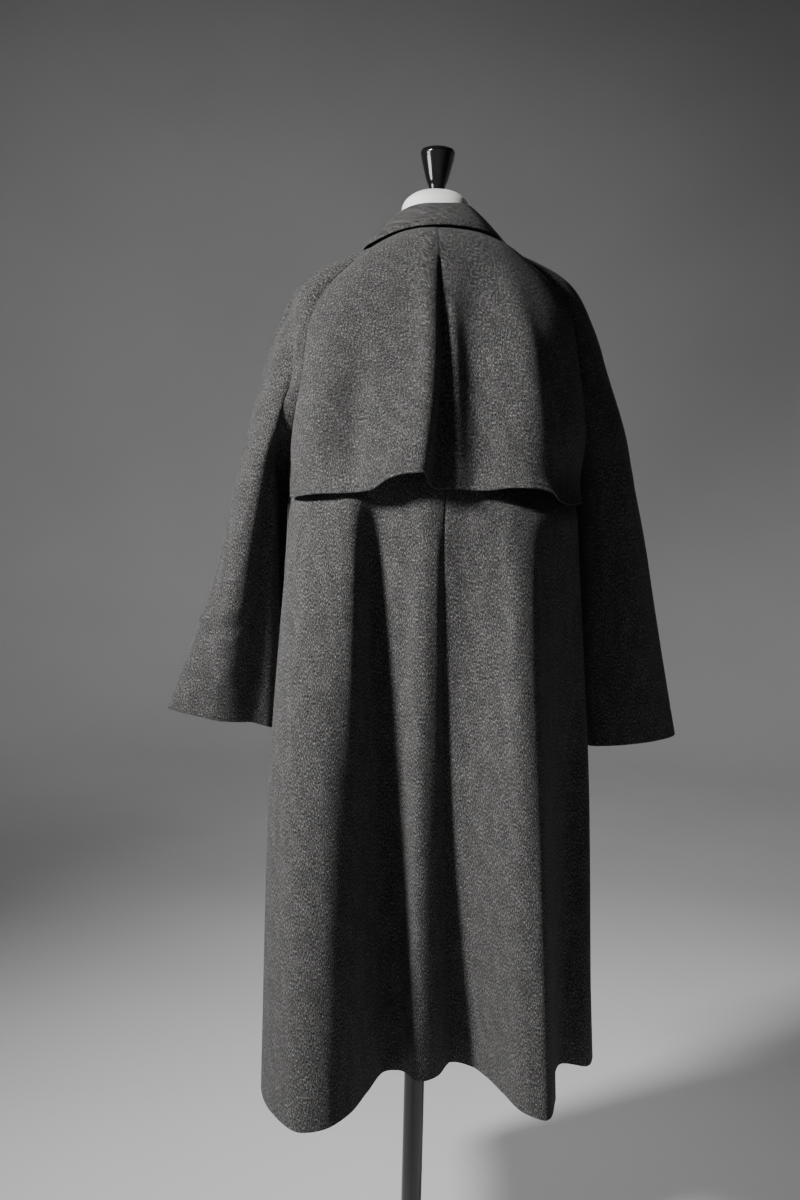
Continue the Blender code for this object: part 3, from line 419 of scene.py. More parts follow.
# Creases that lie on the folds of each panel. Each is a curve seen in the coat's upright
# plane (x and z of its points), its width and its height: ridges are above 0, troughs
# below. Those of sleeve_left lie on both of its halves.
CREASES = {
    # The pleat's left fold stands up from the yoke, and the cloth sinks to its right.
    "storm_flap": (
        (((0.030, 1.450), (0.030, 1.330), (0.035, 1.230), (0.044, 1.110)), 0.015, 0.0135),
        (((0.0125, 1.424), (0.0130, 1.390), (0.0150, 1.290)), 0.0026, -0.0044),
        (((0.0116, 1.478), (0.0120, 1.450), (0.0126, 1.404)), 0.0015, -0.0009),
        (((-0.030, 1.430), (-0.031, 1.330), (-0.033, 1.233), (-0.040, 1.100)), 0.021, -0.0058),
        (((-0.001, 1.370), (-0.006, 1.270), (-0.014, 1.090)), 0.011, 0.0055),
        (((-0.076, 1.430), (-0.096, 1.329), (-0.110, 1.236), (-0.128, 1.110)), 0.019, 0.0056),
        (((-0.140, 1.340), (-0.152, 1.230), (-0.166, 1.090)), 0.020, -0.0042),
        (((0.116, 1.330), (0.121, 1.210), (0.126, 1.070)), 0.016, -0.0042),
        (((0.168, 1.300), (0.172, 1.180), (0.178, 1.080)), 0.018, 0.0030),
    ),
    # It falls in beside the body and rises again along its edge.
    "sleeve_left_back": (
        (((0.204, 1.352), (0.218, 1.150), (0.231, 0.980), (0.244, 0.660)), 0.025, -0.0240),
        (((0.228, 1.320), (0.258, 1.122), (0.274, 0.997), (0.306, 0.660)), 0.016, 0.0060),
        (((0.290, 1.062), (0.297, 1.019), (0.303, 0.970)), 0.0040, -0.0030),
        (((0.345, 0.905), (0.308, 0.924), (0.262, 0.942)), 0.0075, 0.0036),
        (((0.352, 0.884), (0.304, 0.900), (0.252, 0.916)), 0.0060, -0.0034),
        (((0.352, 0.843), (0.313, 0.857), (0.266, 0.838)), 0.0080, 0.0024),
        (((0.204, 1.400), (0.211, 1.320), (0.214, 1.200)), 0.0080, -0.0060),
    ),
    # Both halves of the left sleeve lean to the body under the arm.
    "sleeve_left": (
        (((0.2042, 1.150), (0.2038, 1.100), (0.2032, 1.000)), 0.012, 0.0034),
    ),
    # A broad ridge, and the hollow beside the body.
    "sleeve_right_back": (
        (((-0.236, 1.310), (-0.270, 1.120), (-0.300, 0.960), (-0.334, 0.720)), 0.022, 0.0048),
        (((-0.222, 1.280), (-0.243, 1.100), (-0.256, 0.930), (-0.268, 0.720)), 0.016, -0.0056),
        (((-0.330, 0.930), (-0.296, 0.912), (-0.258, 0.918)), 0.0080, -0.0024),
    ),
    # Small pulls at the bend of the arm, on both sleeves.
    "sleeve_left_front": (
        (((0.205, 1.060), (0.245, 1.040), (0.290, 1.046)), 0.0090, -0.0030),
        (((0.215, 0.985), (0.255, 0.960), (0.300, 0.972)), 0.0080, -0.0024),
    ),
    "sleeve_right_front": (
        (((-0.210, 1.085), (-0.250, 1.062), (-0.300, 1.070)), 0.0095, -0.0032),
        (((-0.225, 0.990), (-0.268, 0.972), (-0.315, 0.985)), 0.0070, -0.0022),
    ),
    # Soft drags on the back, and on the fronts below the collar.
    "back_left": (
        (((0.088, 1.190), (0.090, 1.020), (0.086, 0.760)), 0.017, -0.0090),
        (((0.128, 1.180), (0.128, 1.020), (0.122, 0.760)), 0.016, 0.0050),
        (((0.030, 1.120), (0.026, 0.950), (0.020, 0.760)), 0.012, 0.0020),
    ),
    "back_right": (
        (((-0.060, 1.090), (-0.078, 0.900), (-0.096, 0.620)), 0.014, -0.0022),
        (((-0.150, 0.620), (-0.158, 0.500), (-0.160, 0.330)), 0.010, 0.0018),
    ),
    "front_left": (
        (((0.160, 1.300), (0.110, 1.200), (0.060, 1.130)), 0.012, -0.0026),
        (((0.064, 1.120), (0.056, 0.800), (0.054, 0.330)), 0.017, 0.0060),
        (((0.112, 1.080), (0.118, 0.780), (0.122, 0.300)), 0.018, -0.0062),
    ),
    "front_right": (
        (((-0.166, 1.290), (-0.120, 1.180), (-0.080, 1.090)), 0.012, -0.0026),
        (((-0.082, 1.060), (-0.094, 0.760), (-0.102, 0.310)), 0.018, 0.0064),
        (((-0.140, 1.120), (-0.152, 0.820), (-0.158, 0.360)), 0.016, -0.0052),
    ),
}


def shoulder_reach(side, heights):
    """How far the form's shoulder reaches to one side at these heights, just under the
    cloth along the top of the sleeve."""
    top = sleeve_grid(side, [0.0], np.linspace(0, 0.75, 60))[:, 0]
    slope = np.gradient(top[:, [0, 2]], axis=0)
    out = unit(np.stack([-slope[:, 1] * side, slope[:, 0] * side], axis=1))
    out *= np.sign(out[:, 1])[:, None]
    ridge = top[:, [0, 2]] - out * (CLOTH + SHOULDER_REST)
    return np.interp(heights, ridge[::-1, 1], np.abs(ridge[::-1, 0]))


# Cloth panels. EDGE holds the distances of a grid's first columns from the panel's edge.
EDGE = (0.0, 0.0008, 0.0018, 0.0030, 0.0042, 0.0054, 0.0066, 0.0080, 0.0105)
EDGE_TURN = 0.4             # how far an edge rounds out, as a share of the thickness
EDGE_THIN = 0.45            # share of the thickness left at a sewn edge
EDGE_THIN_IN = 0.005        # and how far in the full thickness starts
SEAM_DIP = 0.0012           # how far the cloth turns in at a seam
SEAM_DIP_WIDTH = 0.0022
SEAM_BLEND = 0.006          # from a seam to where a panel's normals are its own again
HEM_DEPTH = 0.040           # of the cloth turned up inside the hem and the cuffs
HEM_PLY = 0.0010            # what that cloth adds to the thickness
HEM_RAMP = 0.002            # half the length over which it ends
HEM_GROOVE = 0.8            # depth of the hem's groove next to a topstitched one
STITCH_IN = 0.0054          # from a sewn or turned edge to its row of topstitching
STITCH_COLUMN = EDGE.index(STITCH_IN)
STITCH_PITCH = 0.0036
STITCH_LENGTH = 0.0027
STITCH_RADIUS = 0.00038
STITCH_LIFT = 0.00012
STITCH_BODY = 0.28          # half of a stitch's round part, as a share of its length
STITCH_AHEAD = 0.001        # how far ahead and behind a stitch its direction is read
GROOVE_DIP = 0.00105        # of the cloth along a row of stitches
GROOVE_WIDTH = 0.0014
GROOVE_SWELL = 0.00045      # of the cloth on both sides of it
SWELL_WIDTH = 0.0036
STRAND_SIDES = 6
CREASE_STEPS = 150
CREASE_ENDS = 0.02          # share of a crease at each end whose height stays the same
CREASE_FADE = 0.7
CREASE_CLEAR = 0.010        # from an edge to where creases have their full height
BEYOND = 9                  # metres, for rows where a groove has no place


def relaid(grid, low, high, count):
    """Lay the rows of a fine grid out again by their length, with columns at set
    distances from the two edges and even ones between."""
    rows = []
    for line in grid:
        run = run_of(line)
        middle = np.linspace(low[-1], run[-1] - high[-1], count + 2)[1:-1]
        at = np.concatenate([low, middle, run[-1] - np.array(high[::-1])])
        rows.append(read_line(line, run, at))
    return np.array(rows)


def lengths_along(grid, axis):
    """Distance of each point from the grid's first edge, along its row or column."""
    steps = np.linalg.norm(np.diff(grid, axis=axis), axis=2)
    start = np.zeros_like(np.take(steps, [0], axis=axis))
    return np.concatenate([start, np.cumsum(steps, axis=axis)], axis=axis)


def edge_distances(grid):
    """Distances of each point from the left, right, lower and upper edge of its panel."""
    across = lengths_along(grid, 1)
    upward = lengths_along(grid, 0)
    return across, across[:, -1:] - across, upward, upward[-1:] - upward


def softened(values, times):
    """Blur a grid of values, keeping its edges."""
    for _ in range(times):
        inside = (values[:-2] + values[1:-1] * 2 + values[2:]) / 4
        values = np.concatenate([values[:1], inside, values[-1:]])
        inside = (values[:, :-2] + values[:, 1:-1] * 2 + values[:, 2:]) / 4
        values = np.concatenate([values[:, :1], inside, values[:, -1:]], axis=1)
    return values


def stitch_groove(distance, at=STITCH_IN):
    """The cloth drawn in along a row of stitches, with a soft swelling on both sides."""
    off = distance - at
    return (GROOVE_SWELL * np.exp(-(off / SWELL_WIDTH) ** 2)
            - GROOVE_DIP * np.exp(-(off / GROOVE_WIDTH) ** 2))


def crease_relief(grid, panel):
    """A panel's soft ridges and troughs, each along a curve seen in the coat's upright
    plane. Their height fades towards both ends."""
    relief = np.zeros(grid.shape[:2])
    at = np.linspace(0, 1, CREASE_STEPS)
    fade = np.sin(math.pi * np.clip(at, CREASE_ENDS, 1 - CREASE_ENDS)) ** CREASE_FADE
    for points, width, height in CREASES.get(panel, ()):
        line = smooth(np.linspace(0, 1, len(points)), points, at)
        gaps = np.linalg.norm(grid[..., None, [0, 2]] - line, axis=3)
        relief += height * fade[gaps.argmin(axis=2)] * np.exp(-(gaps.min(axis=2) / width) ** 2)
    return relief


def mesh_of(name, points, faces):
    mesh = bpy.data.meshes.new(name)
    mesh.from_pydata(points, [], faces)
    mesh.update()
    return mesh


def ring_faces(rings, steps, start=0):
    """Four-sided faces between rings of points that follow one another."""
    faces = []
    for first in range(start, start + (rings - 1) * steps, steps):
        for step in range(steps):
            a = first + step
            b = first + (step + 1) % steps
            faces.append((a, b, b + steps, a + steps))
    return faces


def add_object(name, data):
    made = bpy.data.objects.new(name, data)
    bpy.context.scene.collection.objects.link(made)
    return made


def ready(name, mesh, finish, node=None, rise=STAND_RISE):
    """Make a piece of the object from its mesh, up on the stand."""
    mesh.shade_smooth()
    mesh.materials.append(finish)
    made = add_object(name, mesh)
    made.location.z = rise
    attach(made, "root")
    if node:
        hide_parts(node)
    return made


def cloth_piece(node, outer, normals, thickness, finish):
    """A sheet of cloth as a thin closed shell: its outer face, its inner face and a
    rounded edge. The first UV map is the cloth's own length and width in metres."""
    rows, columns = outer.shape[:2]
    count = rows * columns
    inner = outer - normals * np.broadcast_to(thickness, (rows, columns))[..., None]
    index = np.arange(count).reshape(rows, columns)
    border = np.concatenate([index[0, :], index[1:, -1], index[-1, -2::-1], index[-2:0:-1, 0]])
    inside = np.clip(border // columns, 1, rows - 2) * columns
    inside += np.clip(border % columns, 1, columns - 2)
    outer_points = outer.reshape(-1, 3)
    inner_points = inner.reshape(-1, 3)
    outward = unit(outer_points[border] - outer_points[inside])
    depth = np.linalg.norm(outer_points[border] - inner_points[border], axis=1)[:, None]
    rim = (outer_points[border] + inner_points[border]) / 2 + outward * depth * EDGE_TURN
    points = np.concatenate([outer_points, inner_points, rim])
    front = np.stack([index[:-1, :-1], index[:-1, 1:], index[1:, 1:], index[1:, :-1]],
                     axis=2).reshape(-1, 4)
    back = front[:, ::-1] + count
    following = np.roll(border, -1)
    ring = np.arange(len(border)) + 2 * count
    after = np.roll(ring, -1)
    upper = np.stack([border, ring, after, following], axis=1)
    lower = np.stack([ring, border + count, following + count, after], axis=1)
    faces = np.concatenate([front, back, upper, lower])
    row, column = rows // 2, columns // 2
    across = outer[row, column + 1] - outer[row, column]
    upward = outer[row + 1, column] - outer[row, column]
    if np.dot(np.cross(across, upward), normals[row, column]) < 0:
        faces = faces[:, ::-1]
    mesh = bpy.data.meshes.new("coat_" + node)
    mesh.vertices.add(len(points))
    mesh.vertices.foreach_set("co", points.ravel())
    mesh.loops.add(faces.size)
    mesh.loops.foreach_set("vertex_index", faces.ravel())
    mesh.polygons.add(len(faces))
    mesh.polygons.foreach_set("loop_start", np.arange(0, faces.size, 4))
    mesh.update(calc_edges=True)
    uv = np.stack([lengths_along(outer, 1), lengths_along(outer, 0)], axis=2).reshape(-1, 2)
    uv = np.concatenate([uv, uv, uv[border]])
    mesh.uv_layers.new(name="cloth").data.foreach_set("uv", uv[faces.ravel()].ravel())
    mesh.validate()
    return ready("coat_" + node, mesh, finish, node)


def stitch_row(outer, normals, rows, columns):
    """Points and faces of a row of stitches along one row or column of a cloth's grid."""
    points = outer[rows, columns]
    run = run_of(points)
    at = np.arange(STITCH_PITCH, run[-1] - STITCH_PITCH / 2, STITCH_PITCH)
    up = unit(read_line(normals[rows, columns], run, at))
    forward = unit(read_line(points, run, at + STITCH_AHEAD)
                   - read_line(points, run, at - STITCH_AHEAD))
    side = unit(np.cross(forward, up))
    place = read_line(points, run, at) + up * STITCH_LIFT
    turns = np.arange(STRAND_SIDES) * math.pi / (STRAND_SIDES / 2)
    around = (side[:, None] * np.cos(turns)[:, None]
              + up[:, None] * np.sin(turns)[:, None]) * STITCH_RADIUS
    body = forward * STITCH_LENGTH * STITCH_BODY
    tip = forward * STITCH_LENGTH * 0.5
    sunk = up * STITCH_LIFT * 2
    tips = np.stack([place - tip - sunk, place + tip - sunk], axis=1)
    stitches = np.concatenate([(place - body)[:, None] + around,
                               (place + body)[:, None] + around, tips], axis=1)
    first_tip = 2 * STRAND_SIDES
    faces = []
    for step in range(STRAND_SIDES):
        following = (step + 1) % STRAND_SIDES
        faces.append((step, following, following + STRAND_SIDES, step + STRAND_SIDES))
        faces.append((first_tip, following, step))
        faces.append((first_tip + 1, step + STRAND_SIDES, following + STRAND_SIDES))
    return stitches, faces


def thread_piece(name, rows, finish):
    """Rows of stitches joined as one piece."""
    points = []
    faces = []
    for stitches, pattern in rows:
        for stitch in stitches:
            start = len(points)
            points += [tuple(point) for point in stitch]
            faces += [[start + corner for corner in face] for face in pattern]
    return ready(name, mesh_of(name, points, faces), finish)


# The coat. Rows run up from the hem in the units of the knots, and down the sleeves.
ROW_LENGTH = 0.92           # metres of cloth in one unit of the rows
SKIRT_START = 0.020         # first of the even rows
TUBE_END = 1.40             # and the last of them on the sleeves
SKIRT_SHARES = np.concatenate([np.array(EDGE) / ROW_LENGTH,
                               np.linspace(SKIRT_START, YOKE_KNOTS[0], 112)])
YOKE_SHARES = np.linspace(YOKE_KNOTS[0], YOKE_KNOTS[-1], 52)[1:]
BODY_ROWS = np.concatenate([SKIRT_SHARES, YOKE_SHARES])
UNDERARM_ROW = len(SKIRT_SHARES) - 1
YOKE_ROW_COUNT = len(BODY_ROWS) - UNDERARM_ROW
CUFF_SHARES = SLEEVE_KNOTS[-1] - np.array(EDGE[::-1]) / ROW_LENGTH
SLEEVE_ROWS = np.concatenate([(YOKE_KNOTS[-1] - BODY_ROWS[:UNDERARM_ROW - 1:-1]) / YOKE_SPAN,
                              np.linspace(1.0, TUBE_END, 56)[1:], CUFF_SHARES])
BODY_COLUMNS = 96
SLEEVE_COLUMNS = 44
FINE = 400                  # points of a row before it is laid out by its length


def seam_normals(first, second, droop=0.0):
    """One direction for both sides of a seam. The droop turns it downwards where both
    pieces hang from the seam."""
    total = first + second
    total[..., 2] -= droop
    return unit(total)


def toward_seam(normals, shared, distance):
    """Turn a panel's normals towards the seam's own direction close to the seam."""
    share = ease(distance, 0.0, SEAM_BLEND)[..., None]
    return unit(shared[:, None, :] * (1 - share) + normals * share)


def coat_grids():
    """Each panel's points and normals, before its creases."""
    panels = {}
    for side in (1, -1):
        for name, body, lap in (("back", back_grid, 0.0),
                                ("front", front_grid, FRONT_LAP / FRONT_WIDTH)):
            low, high = (-lap, 1.0) if side > 0 else (-1.0, lap)
            grid = relaid(body(np.linspace(low, high, FINE), BODY_ROWS), EDGE, EDGE,
                          BODY_COLUMNS)
            panels[name, side] = [grid, grid_normals(grid, away_from_axis(grid))]
        spine = sleeve_grid(side, [-1, 0, 1], SLEEVE_ROWS).mean(axis=1, keepdims=True)
        for half, low, high in (("back", 0, 1), ("front", -1, 0)):
            grid = relaid(sleeve_grid(side, np.linspace(low, high, FINE), SLEEVE_ROWS),
                          EDGE, EDGE, SLEEVE_COLUMNS)
            panels["sleeve " + half, side] = [grid, grid_normals(grid, unit(grid - spine))]
    return panels


def share_seams(panels):
    """Turn the normals of neighbouring panels to their seam's own direction."""
    turned_to = {}
    first = panels["back", 1][1][:, 0]
    second = panels["back", -1][1][:, -1]
    turned_to["back", 1, 0] = turned_to["back", -1, -1] = seam_normals(first, second)
    droop = UNDERARM_DROOP * np.linspace(1, 0, YOKE_ROW_COUNT) ** UNDERARM_FADE
    below = slice(0, UNDERARM_ROW)
    above = slice(UNDERARM_ROW, None)
    yoke = slice(0, YOKE_ROW_COUNT)
    tube = slice(YOKE_ROW_COUNT, None)
    for side in (1, -1):
        outer = -1 if side > 0 else 0
        back = panels["back", side][1][:, outer]
        front = panels["front", side][1][:, outer]
        sleeve_back = panels["sleeve back", side][1]
        sleeve_front = panels["sleeve front", side][1]
        side_seam = seam_normals(back[below], front[below])
        back_raglan = seam_normals(back[above], sleeve_back[yoke, -1][::-1], droop)
        front_raglan = seam_normals(front[above], sleeve_front[yoke, 0][::-1], droop)
        underarm = seam_normals(sleeve_back[tube, -1], sleeve_front[tube, 0])
        over_arm = seam_normals(sleeve_back[:, 0], sleeve_front[:, -1])
        turned_to["back", side, outer] = np.concatenate([side_seam, back_raglan])
        turned_to["front", side, outer] = np.concatenate([side_seam, front_raglan])
        turned_to["sleeve back", side, -1] = np.concatenate([back_raglan[::-1], underarm])
        turned_to["sleeve front", side, 0] = np.concatenate([front_raglan[::-1], underarm])
        turned_to["sleeve back", side, 0] = over_arm
        turned_to["sleeve front", side, -1] = over_arm
    for (panel, side, column), shared in turned_to.items():
        grid, normals = panels[panel, side]
        left, right, _, _ = edge_distances(grid)
        distance = left if column == 0 else right
        panels[panel, side][1] = toward_seam(normals, shared, distance)
    return turned_to


def make_coat(wool, thread):
    """The body's and the sleeves' panels with their creases and seams, and their rows of
    topstitching: along the raglan seams and down the fronts' edges."""
    panels = coat_grids()
    seams = share_seams(panels)
    made = {}
    stitches = {"raglan": [], "front": []}
    for (panel, side), (grid, normals) in panels.items():
        label = "left" if side > 0 else "right"
        sleeve = panel.startswith("sleeve")
        node = f"sleeve_{label}_{panel.split()[1]}" if sleeve else f"{panel}_{label}"
        left, right, low, high = edge_distances(grid)
        to_side = np.minimum(left, right)
        relief = crease_relief(grid, node) * ease(to_side, 0.0, CREASE_CLEAR)
        relief += crease_relief(grid, node.rsplit("_", 1)[0])
        for name, at, column in seams:
            if (name, at) == (panel, side):
                distance = left if column == 0 else right
                relief -= SEAM_DIP * np.exp(-(distance / SEAM_DIP_WIDTH) ** 2)
        to_hem = high if sleeve else low
        relief += stitch_groove(to_hem, HEM_DEPTH) * HEM_GROOVE
        if panel != "back":
            at_right = panel == "sleeve back" or (panel == "front" and side < 0)
            to_thread = right if at_right else left
            if sleeve:
                to_thread = to_thread + BEYOND * (SLEEVE_ROWS > 1.0)[:, None]
            relief += stitch_groove(to_thread)
        thickness = CLOTH + HEM_PLY * (1 - ease(to_hem, HEM_DEPTH - HEM_RAMP,
                                                HEM_DEPTH + HEM_RAMP))
        thickness = thickness * (EDGE_THIN + (1 - EDGE_THIN) * ease(to_side, 0.0, EDGE_THIN_IN))
        outer = grid + normals * relief[..., None]
        if panel == "front" and side < 0:
            past = grid[..., 0] / FRONT_WIDTH
            under = (CLOTH + HEM_PLY + SEAM * 2) * ease(past, *LAP_UNDER)
            outer = outer - normals * under[..., None]
        outer = pull_in(outer)
        made[node] = cloth_piece(node, outer, normals, thickness, wool)
        if panel != "back":
            rows = slice(1, YOKE_ROW_COUNT - 2) if sleeve else slice(2, -1)
            column = -STITCH_COLUMN - 1 if at_right else STITCH_COLUMN
            stitches["raglan" if sleeve else "front"].append(
                stitch_row(outer, normals, rows, column))
    made["raglan thread"] = thread_piece("raglan_topstitching", stitches["raglan"], thread)
    made["front thread"] = thread_piece("front_edge_topstitching", stitches["front"], thread)
    return made


# The storm flap.
FLAP_COLUMNS = 150
FLAP_LENGTH = 0.34          # metres from its hem to its top
FLAP_START = 0.040          # first of the even rows
FLAP_SHARES = np.concatenate([np.array(EDGE) / FLAP_LENGTH, np.linspace(FLAP_START, 1.0, 72)])
NORMAL_BLURS = 2            # how often the flap's and the collar's normals are blurred


def read_many(grid, levels, places, level, place):
    """Points of a fine grid, between its rows and columns."""
    row = np.interp(level, levels, np.arange(len(levels)))
    column = np.interp(place, places, np.arange(len(places)))
    top = np.minimum(row.astype(int), len(levels) - 2)
    left = np.minimum(column.astype(int), len(places) - 2)
    down = (row - top)[..., None]
    over = (column - left)[..., None]
    upper = grid[top, left] * (1 - over) + grid[top, left + 1] * over
    lower = grid[top + 1, left] * (1 - over) + grid[top + 1, left + 1] * over
    return upper * (1 - down) + lower * down


def flap_grid():
    """Points of the storm flap: the back's points, moved out by the flap's lift."""
    table = np.array([row[1:] for row in FLAP_FOLDS])
    at = np.linspace(0, len(table) - 1, FINE)
    folds = smooth(np.arange(len(table)), table, at, steady=True)
    chest_place, chest_lift, hem_place, hem_lift, hem_height = folds.T
    knots = (0.0, FLAP_CHEST, FLAP_PLEAT_TOP, 1.0)
    top = np.full(FINE, FLAP_TOP_LIFT)
    shape = np.array([[hem_place, chest_place, chest_place, chest_place],
                      [hem_lift, chest_lift, top, top]])
    levels = np.linspace(SKIRT_KNOTS[-1], YOKE_KNOTS[-1], 160)
    fine = np.linspace(-1, 1, 321)
    base = back_grid(fine, levels)
    out = grid_normals(base, away_from_axis(base))
    hem_heights = read_many(base[..., 2:], levels, fine,
                            np.repeat(levels[:, None], FINE, axis=1),
                            np.repeat(hem_place[None], len(levels), axis=0))[..., 0]
    hem_levels = np.array([np.interp(height, column, levels)
                           for height, column in zip(hem_height, hem_heights.T)])
    level = hem_levels + (FLAP_TOP_ROW - hem_levels) * FLAP_SHARES[:, None]
    place, lift = smooth(knots, shape.transpose(1, 0, 2), FLAP_SHARES,
                         steady=True).transpose(1, 0, 2)
    points = read_many(base, levels, fine, level, place)
    outward = unit(read_many(out, levels, fine, np.maximum(level, YOKE_KNOTS[1]), place))
    return points + outward * lift[..., None]


def make_flap(wool, thread):
    """The flap, topstitched along its two sides and its hem."""
    grid = relaid(flap_grid(), EDGE, EDGE, FLAP_COLUMNS)
    normals = unit(softened(grid_normals(grid, away_from_axis(grid)), NORMAL_BLURS))
    left, right, low, _ = edge_distances(grid)
    to_side = np.minimum(left, right)
    relief = crease_relief(grid, "storm_flap") * ease(to_side, 0.0, CREASE_CLEAR)
    relief += stitch_groove(np.minimum(to_side, low))
    outer = grid + normals * relief[..., None]
    piece = cloth_piece("storm_flap", outer, normals, CLOTH, wool)
    column = STITCH_COLUMN
    up = slice(column, -4)
    rows = [stitch_row(outer, normals, up, column),
            stitch_row(outer, normals, up, -column - 1),
            stitch_row(outer, normals, column, slice(column, -column))]
    return piece, thread_piece("flap_topstitching", rows, thread)


# The collar.
COLLAR_CROWN = 0.0022       # how far the fall rounds out between its roll and its edge
COLLAR_CROWN_SHAPE = 0.8
COLLAR_FINE = 150
COLLAR_ROWS = 56            # even rows from the neck seam over the roll to the edge
COLLAR_FALL_ROW = 34        # where the topstitching of its ends starts
COLLAR_GROOVE = 1.5         # depth of its groove next to the flap's
COLLAR_SEWN = (0.030, 0.045)    # from the neck seam to where the groove begins, and is full


def make_collar(wool, thread):
    """The collar is one folded sheet: the stand, the roll at its top and the fall."""
    left = np.array([row[1:] for row in COLLAR]).reshape(len(COLLAR), 3, 3)
    right = left[:0:-1] * (-1, 1, 1)
    right[..., 2] += RIGHT_COLLAR_RISE
    right[:, 2, [0, 2]] += np.array(RIGHT_EDGE_ADDS)[::-1] * (-1, 1)
    ring = np.concatenate([right, left])
    run = run_of(ring[:, 1])
    at = np.linspace(0, run[-1], COLLAR_FINE)
    seam, roll, edge = smooth(run, ring, at).transpose(1, 0, 2)
    along = unit(np.gradient(roll, axis=0))
    stand_out = unit(np.cross(along, roll - seam))
    stand_out *= -np.sign(np.sum(stand_out * away_from_axis(roll), axis=1))[:, None]
    fall_out = unit(np.cross(along, edge - roll))
    fall_out *= np.sign(fall_out[:, 2])[:, None]
    radius = COLLAR_ROLL + COLLAR_CLOTH / 2
    outer = []
    for share in np.linspace(0, 1, 15)[:-1]:
        outer.append(seam + (roll - seam) * share + stand_out * radius)
    for share in np.linspace(0, 1, 11):
        outer.append(roll + unit(stand_out * (1 - share) + fall_out * share) * radius)
    for share in np.linspace(0, 1, 41)[1:]:
        crown = COLLAR_CROWN * math.sin(math.pi * share) ** COLLAR_CROWN_SHAPE
        outer.append(roll + (edge - roll) * share + fall_out * (radius + crown))
    grid = relaid(np.array(outer).transpose(1, 0, 2), EDGE[:2], EDGE, COLLAR_ROWS)
    grid = relaid(grid.transpose(1, 0, 2), EDGE, EDGE, COLLAR_FINE)
    to_left, to_right, low, high = edge_distances(grid)
    normals = unit(np.cross(np.gradient(grid, axis=1), np.gradient(grid, axis=0)))
    if normals[-3, grid.shape[1] // 2, 2] < 0:
        normals = -normals
    normals = unit(softened(normals, NORMAL_BLURS))
    relief = stitch_groove(np.minimum(np.minimum(to_left, to_right), high)) * COLLAR_GROOVE
    relief *= ease(low, *COLLAR_SEWN)
    outer = grid + normals * relief[..., None]
    piece = cloth_piece("collar", outer, normals, COLLAR_CLOTH, wool)
    column = STITCH_COLUMN
    fall = slice(COLLAR_FALL_ROW, -column)
    rows = [stitch_row(outer, normals, -column - 1, slice(column, -column)),
            stitch_row(outer, normals, fall, column),
            stitch_row(outer, normals, fall, -column - 1)]
    return piece, thread_piece("collar_topstitching", rows, thread)


# The dress form.
FORM_STEPS = 128
FORM_REACH = np.linspace(SHOULDER_LEVELS[0], SHOULDER_LEVELS[-1], 24)
CAP_SIDE = 1.5250           # height where the neck's cap starts to round over
CAP_RISE = 0.0046
BEVEL = 0.0008              # of the pole's ends and the hub's bore
HUB_CURVE = ((HUB_RADIUS, HUB_TOP - 0.004), (HUB_RADIUS + 0.0004, 0.0300),
             (HUB_RADIUS + 0.0030, 0.0205), (HUB_RADIUS + 0.0120, 0.0176))
RIM_CURVE = ((BASE_RADIUS - 0.0060, BASE_EDGE), (BASE_RADIUS - 0.0022, BASE_EDGE - 0.001),
             (BASE_RADIUS, BASE_EDGE - 0.0045))


def turned_piece(name, profile, finish, node, steps=96, rise=STAND_RISE):
    """A turned piece: (radius, height) pairs from the top of its outer side down."""
    profile = np.array(profile, dtype=float)
    turns = np.arange(steps) * 2 * math.pi / steps
    rings = profile[1:-1]
    points = np.stack([rings[:, 0, None] * np.cos(turns), rings[:, 0, None] * np.sin(turns),
                       np.repeat(rings[:, 1, None], steps, axis=1)], axis=2).reshape(-1, 3)
    faces = [(a, d, c, b) for a, b, c, d in ring_faces(len(rings), steps)]
    top = len(points)
    points = [tuple(point) for point in points]
    points += [(0, 0, profile[0, 1]), (0, 0, profile[-1, 1])]
    last = (len(rings) - 1) * steps
    for step in range(steps):
        following = (step + 1) % steps
        faces.append((top, step, following))
        faces.append((top + 1, last + following, last + step))
    made = ready(name, mesh_of(name, points, faces), finish, node, rise)
    made.data.set_sharp_from_angle(angle=math.radians(40))
    return made


def rounded(profile, steps):
    """A smooth outline through the profile's points."""
    profile = np.array(profile, dtype=float)
    run = run_of(profile)
    return smooth(run, profile, np.linspace(0, run[-1], steps))


def form_table():
    """Height, half widths and depths of the form: its torso, its shoulders and its neck."""
    rows = [row[1:] for row in TORSO]
    span = SHOULDER_LEVELS[-1] - SHOULDER_LEVELS[0]
    left = shoulder_reach(1, FORM_REACH)
    right = shoulder_reach(-1, FORM_REACH)
    for level, to_left, to_right in zip(FORM_REACH, left, right):
        share = (level - SHOULDER_LEVELS[0]) / span
        back, front = (low + (high - low) * share
                       for low, high in (SHOULDER_BACK, SHOULDER_FRONT))
        rows.append((level, to_left, to_right, back, front))
    return np.array(rows + [row[1:] for row in NECK])


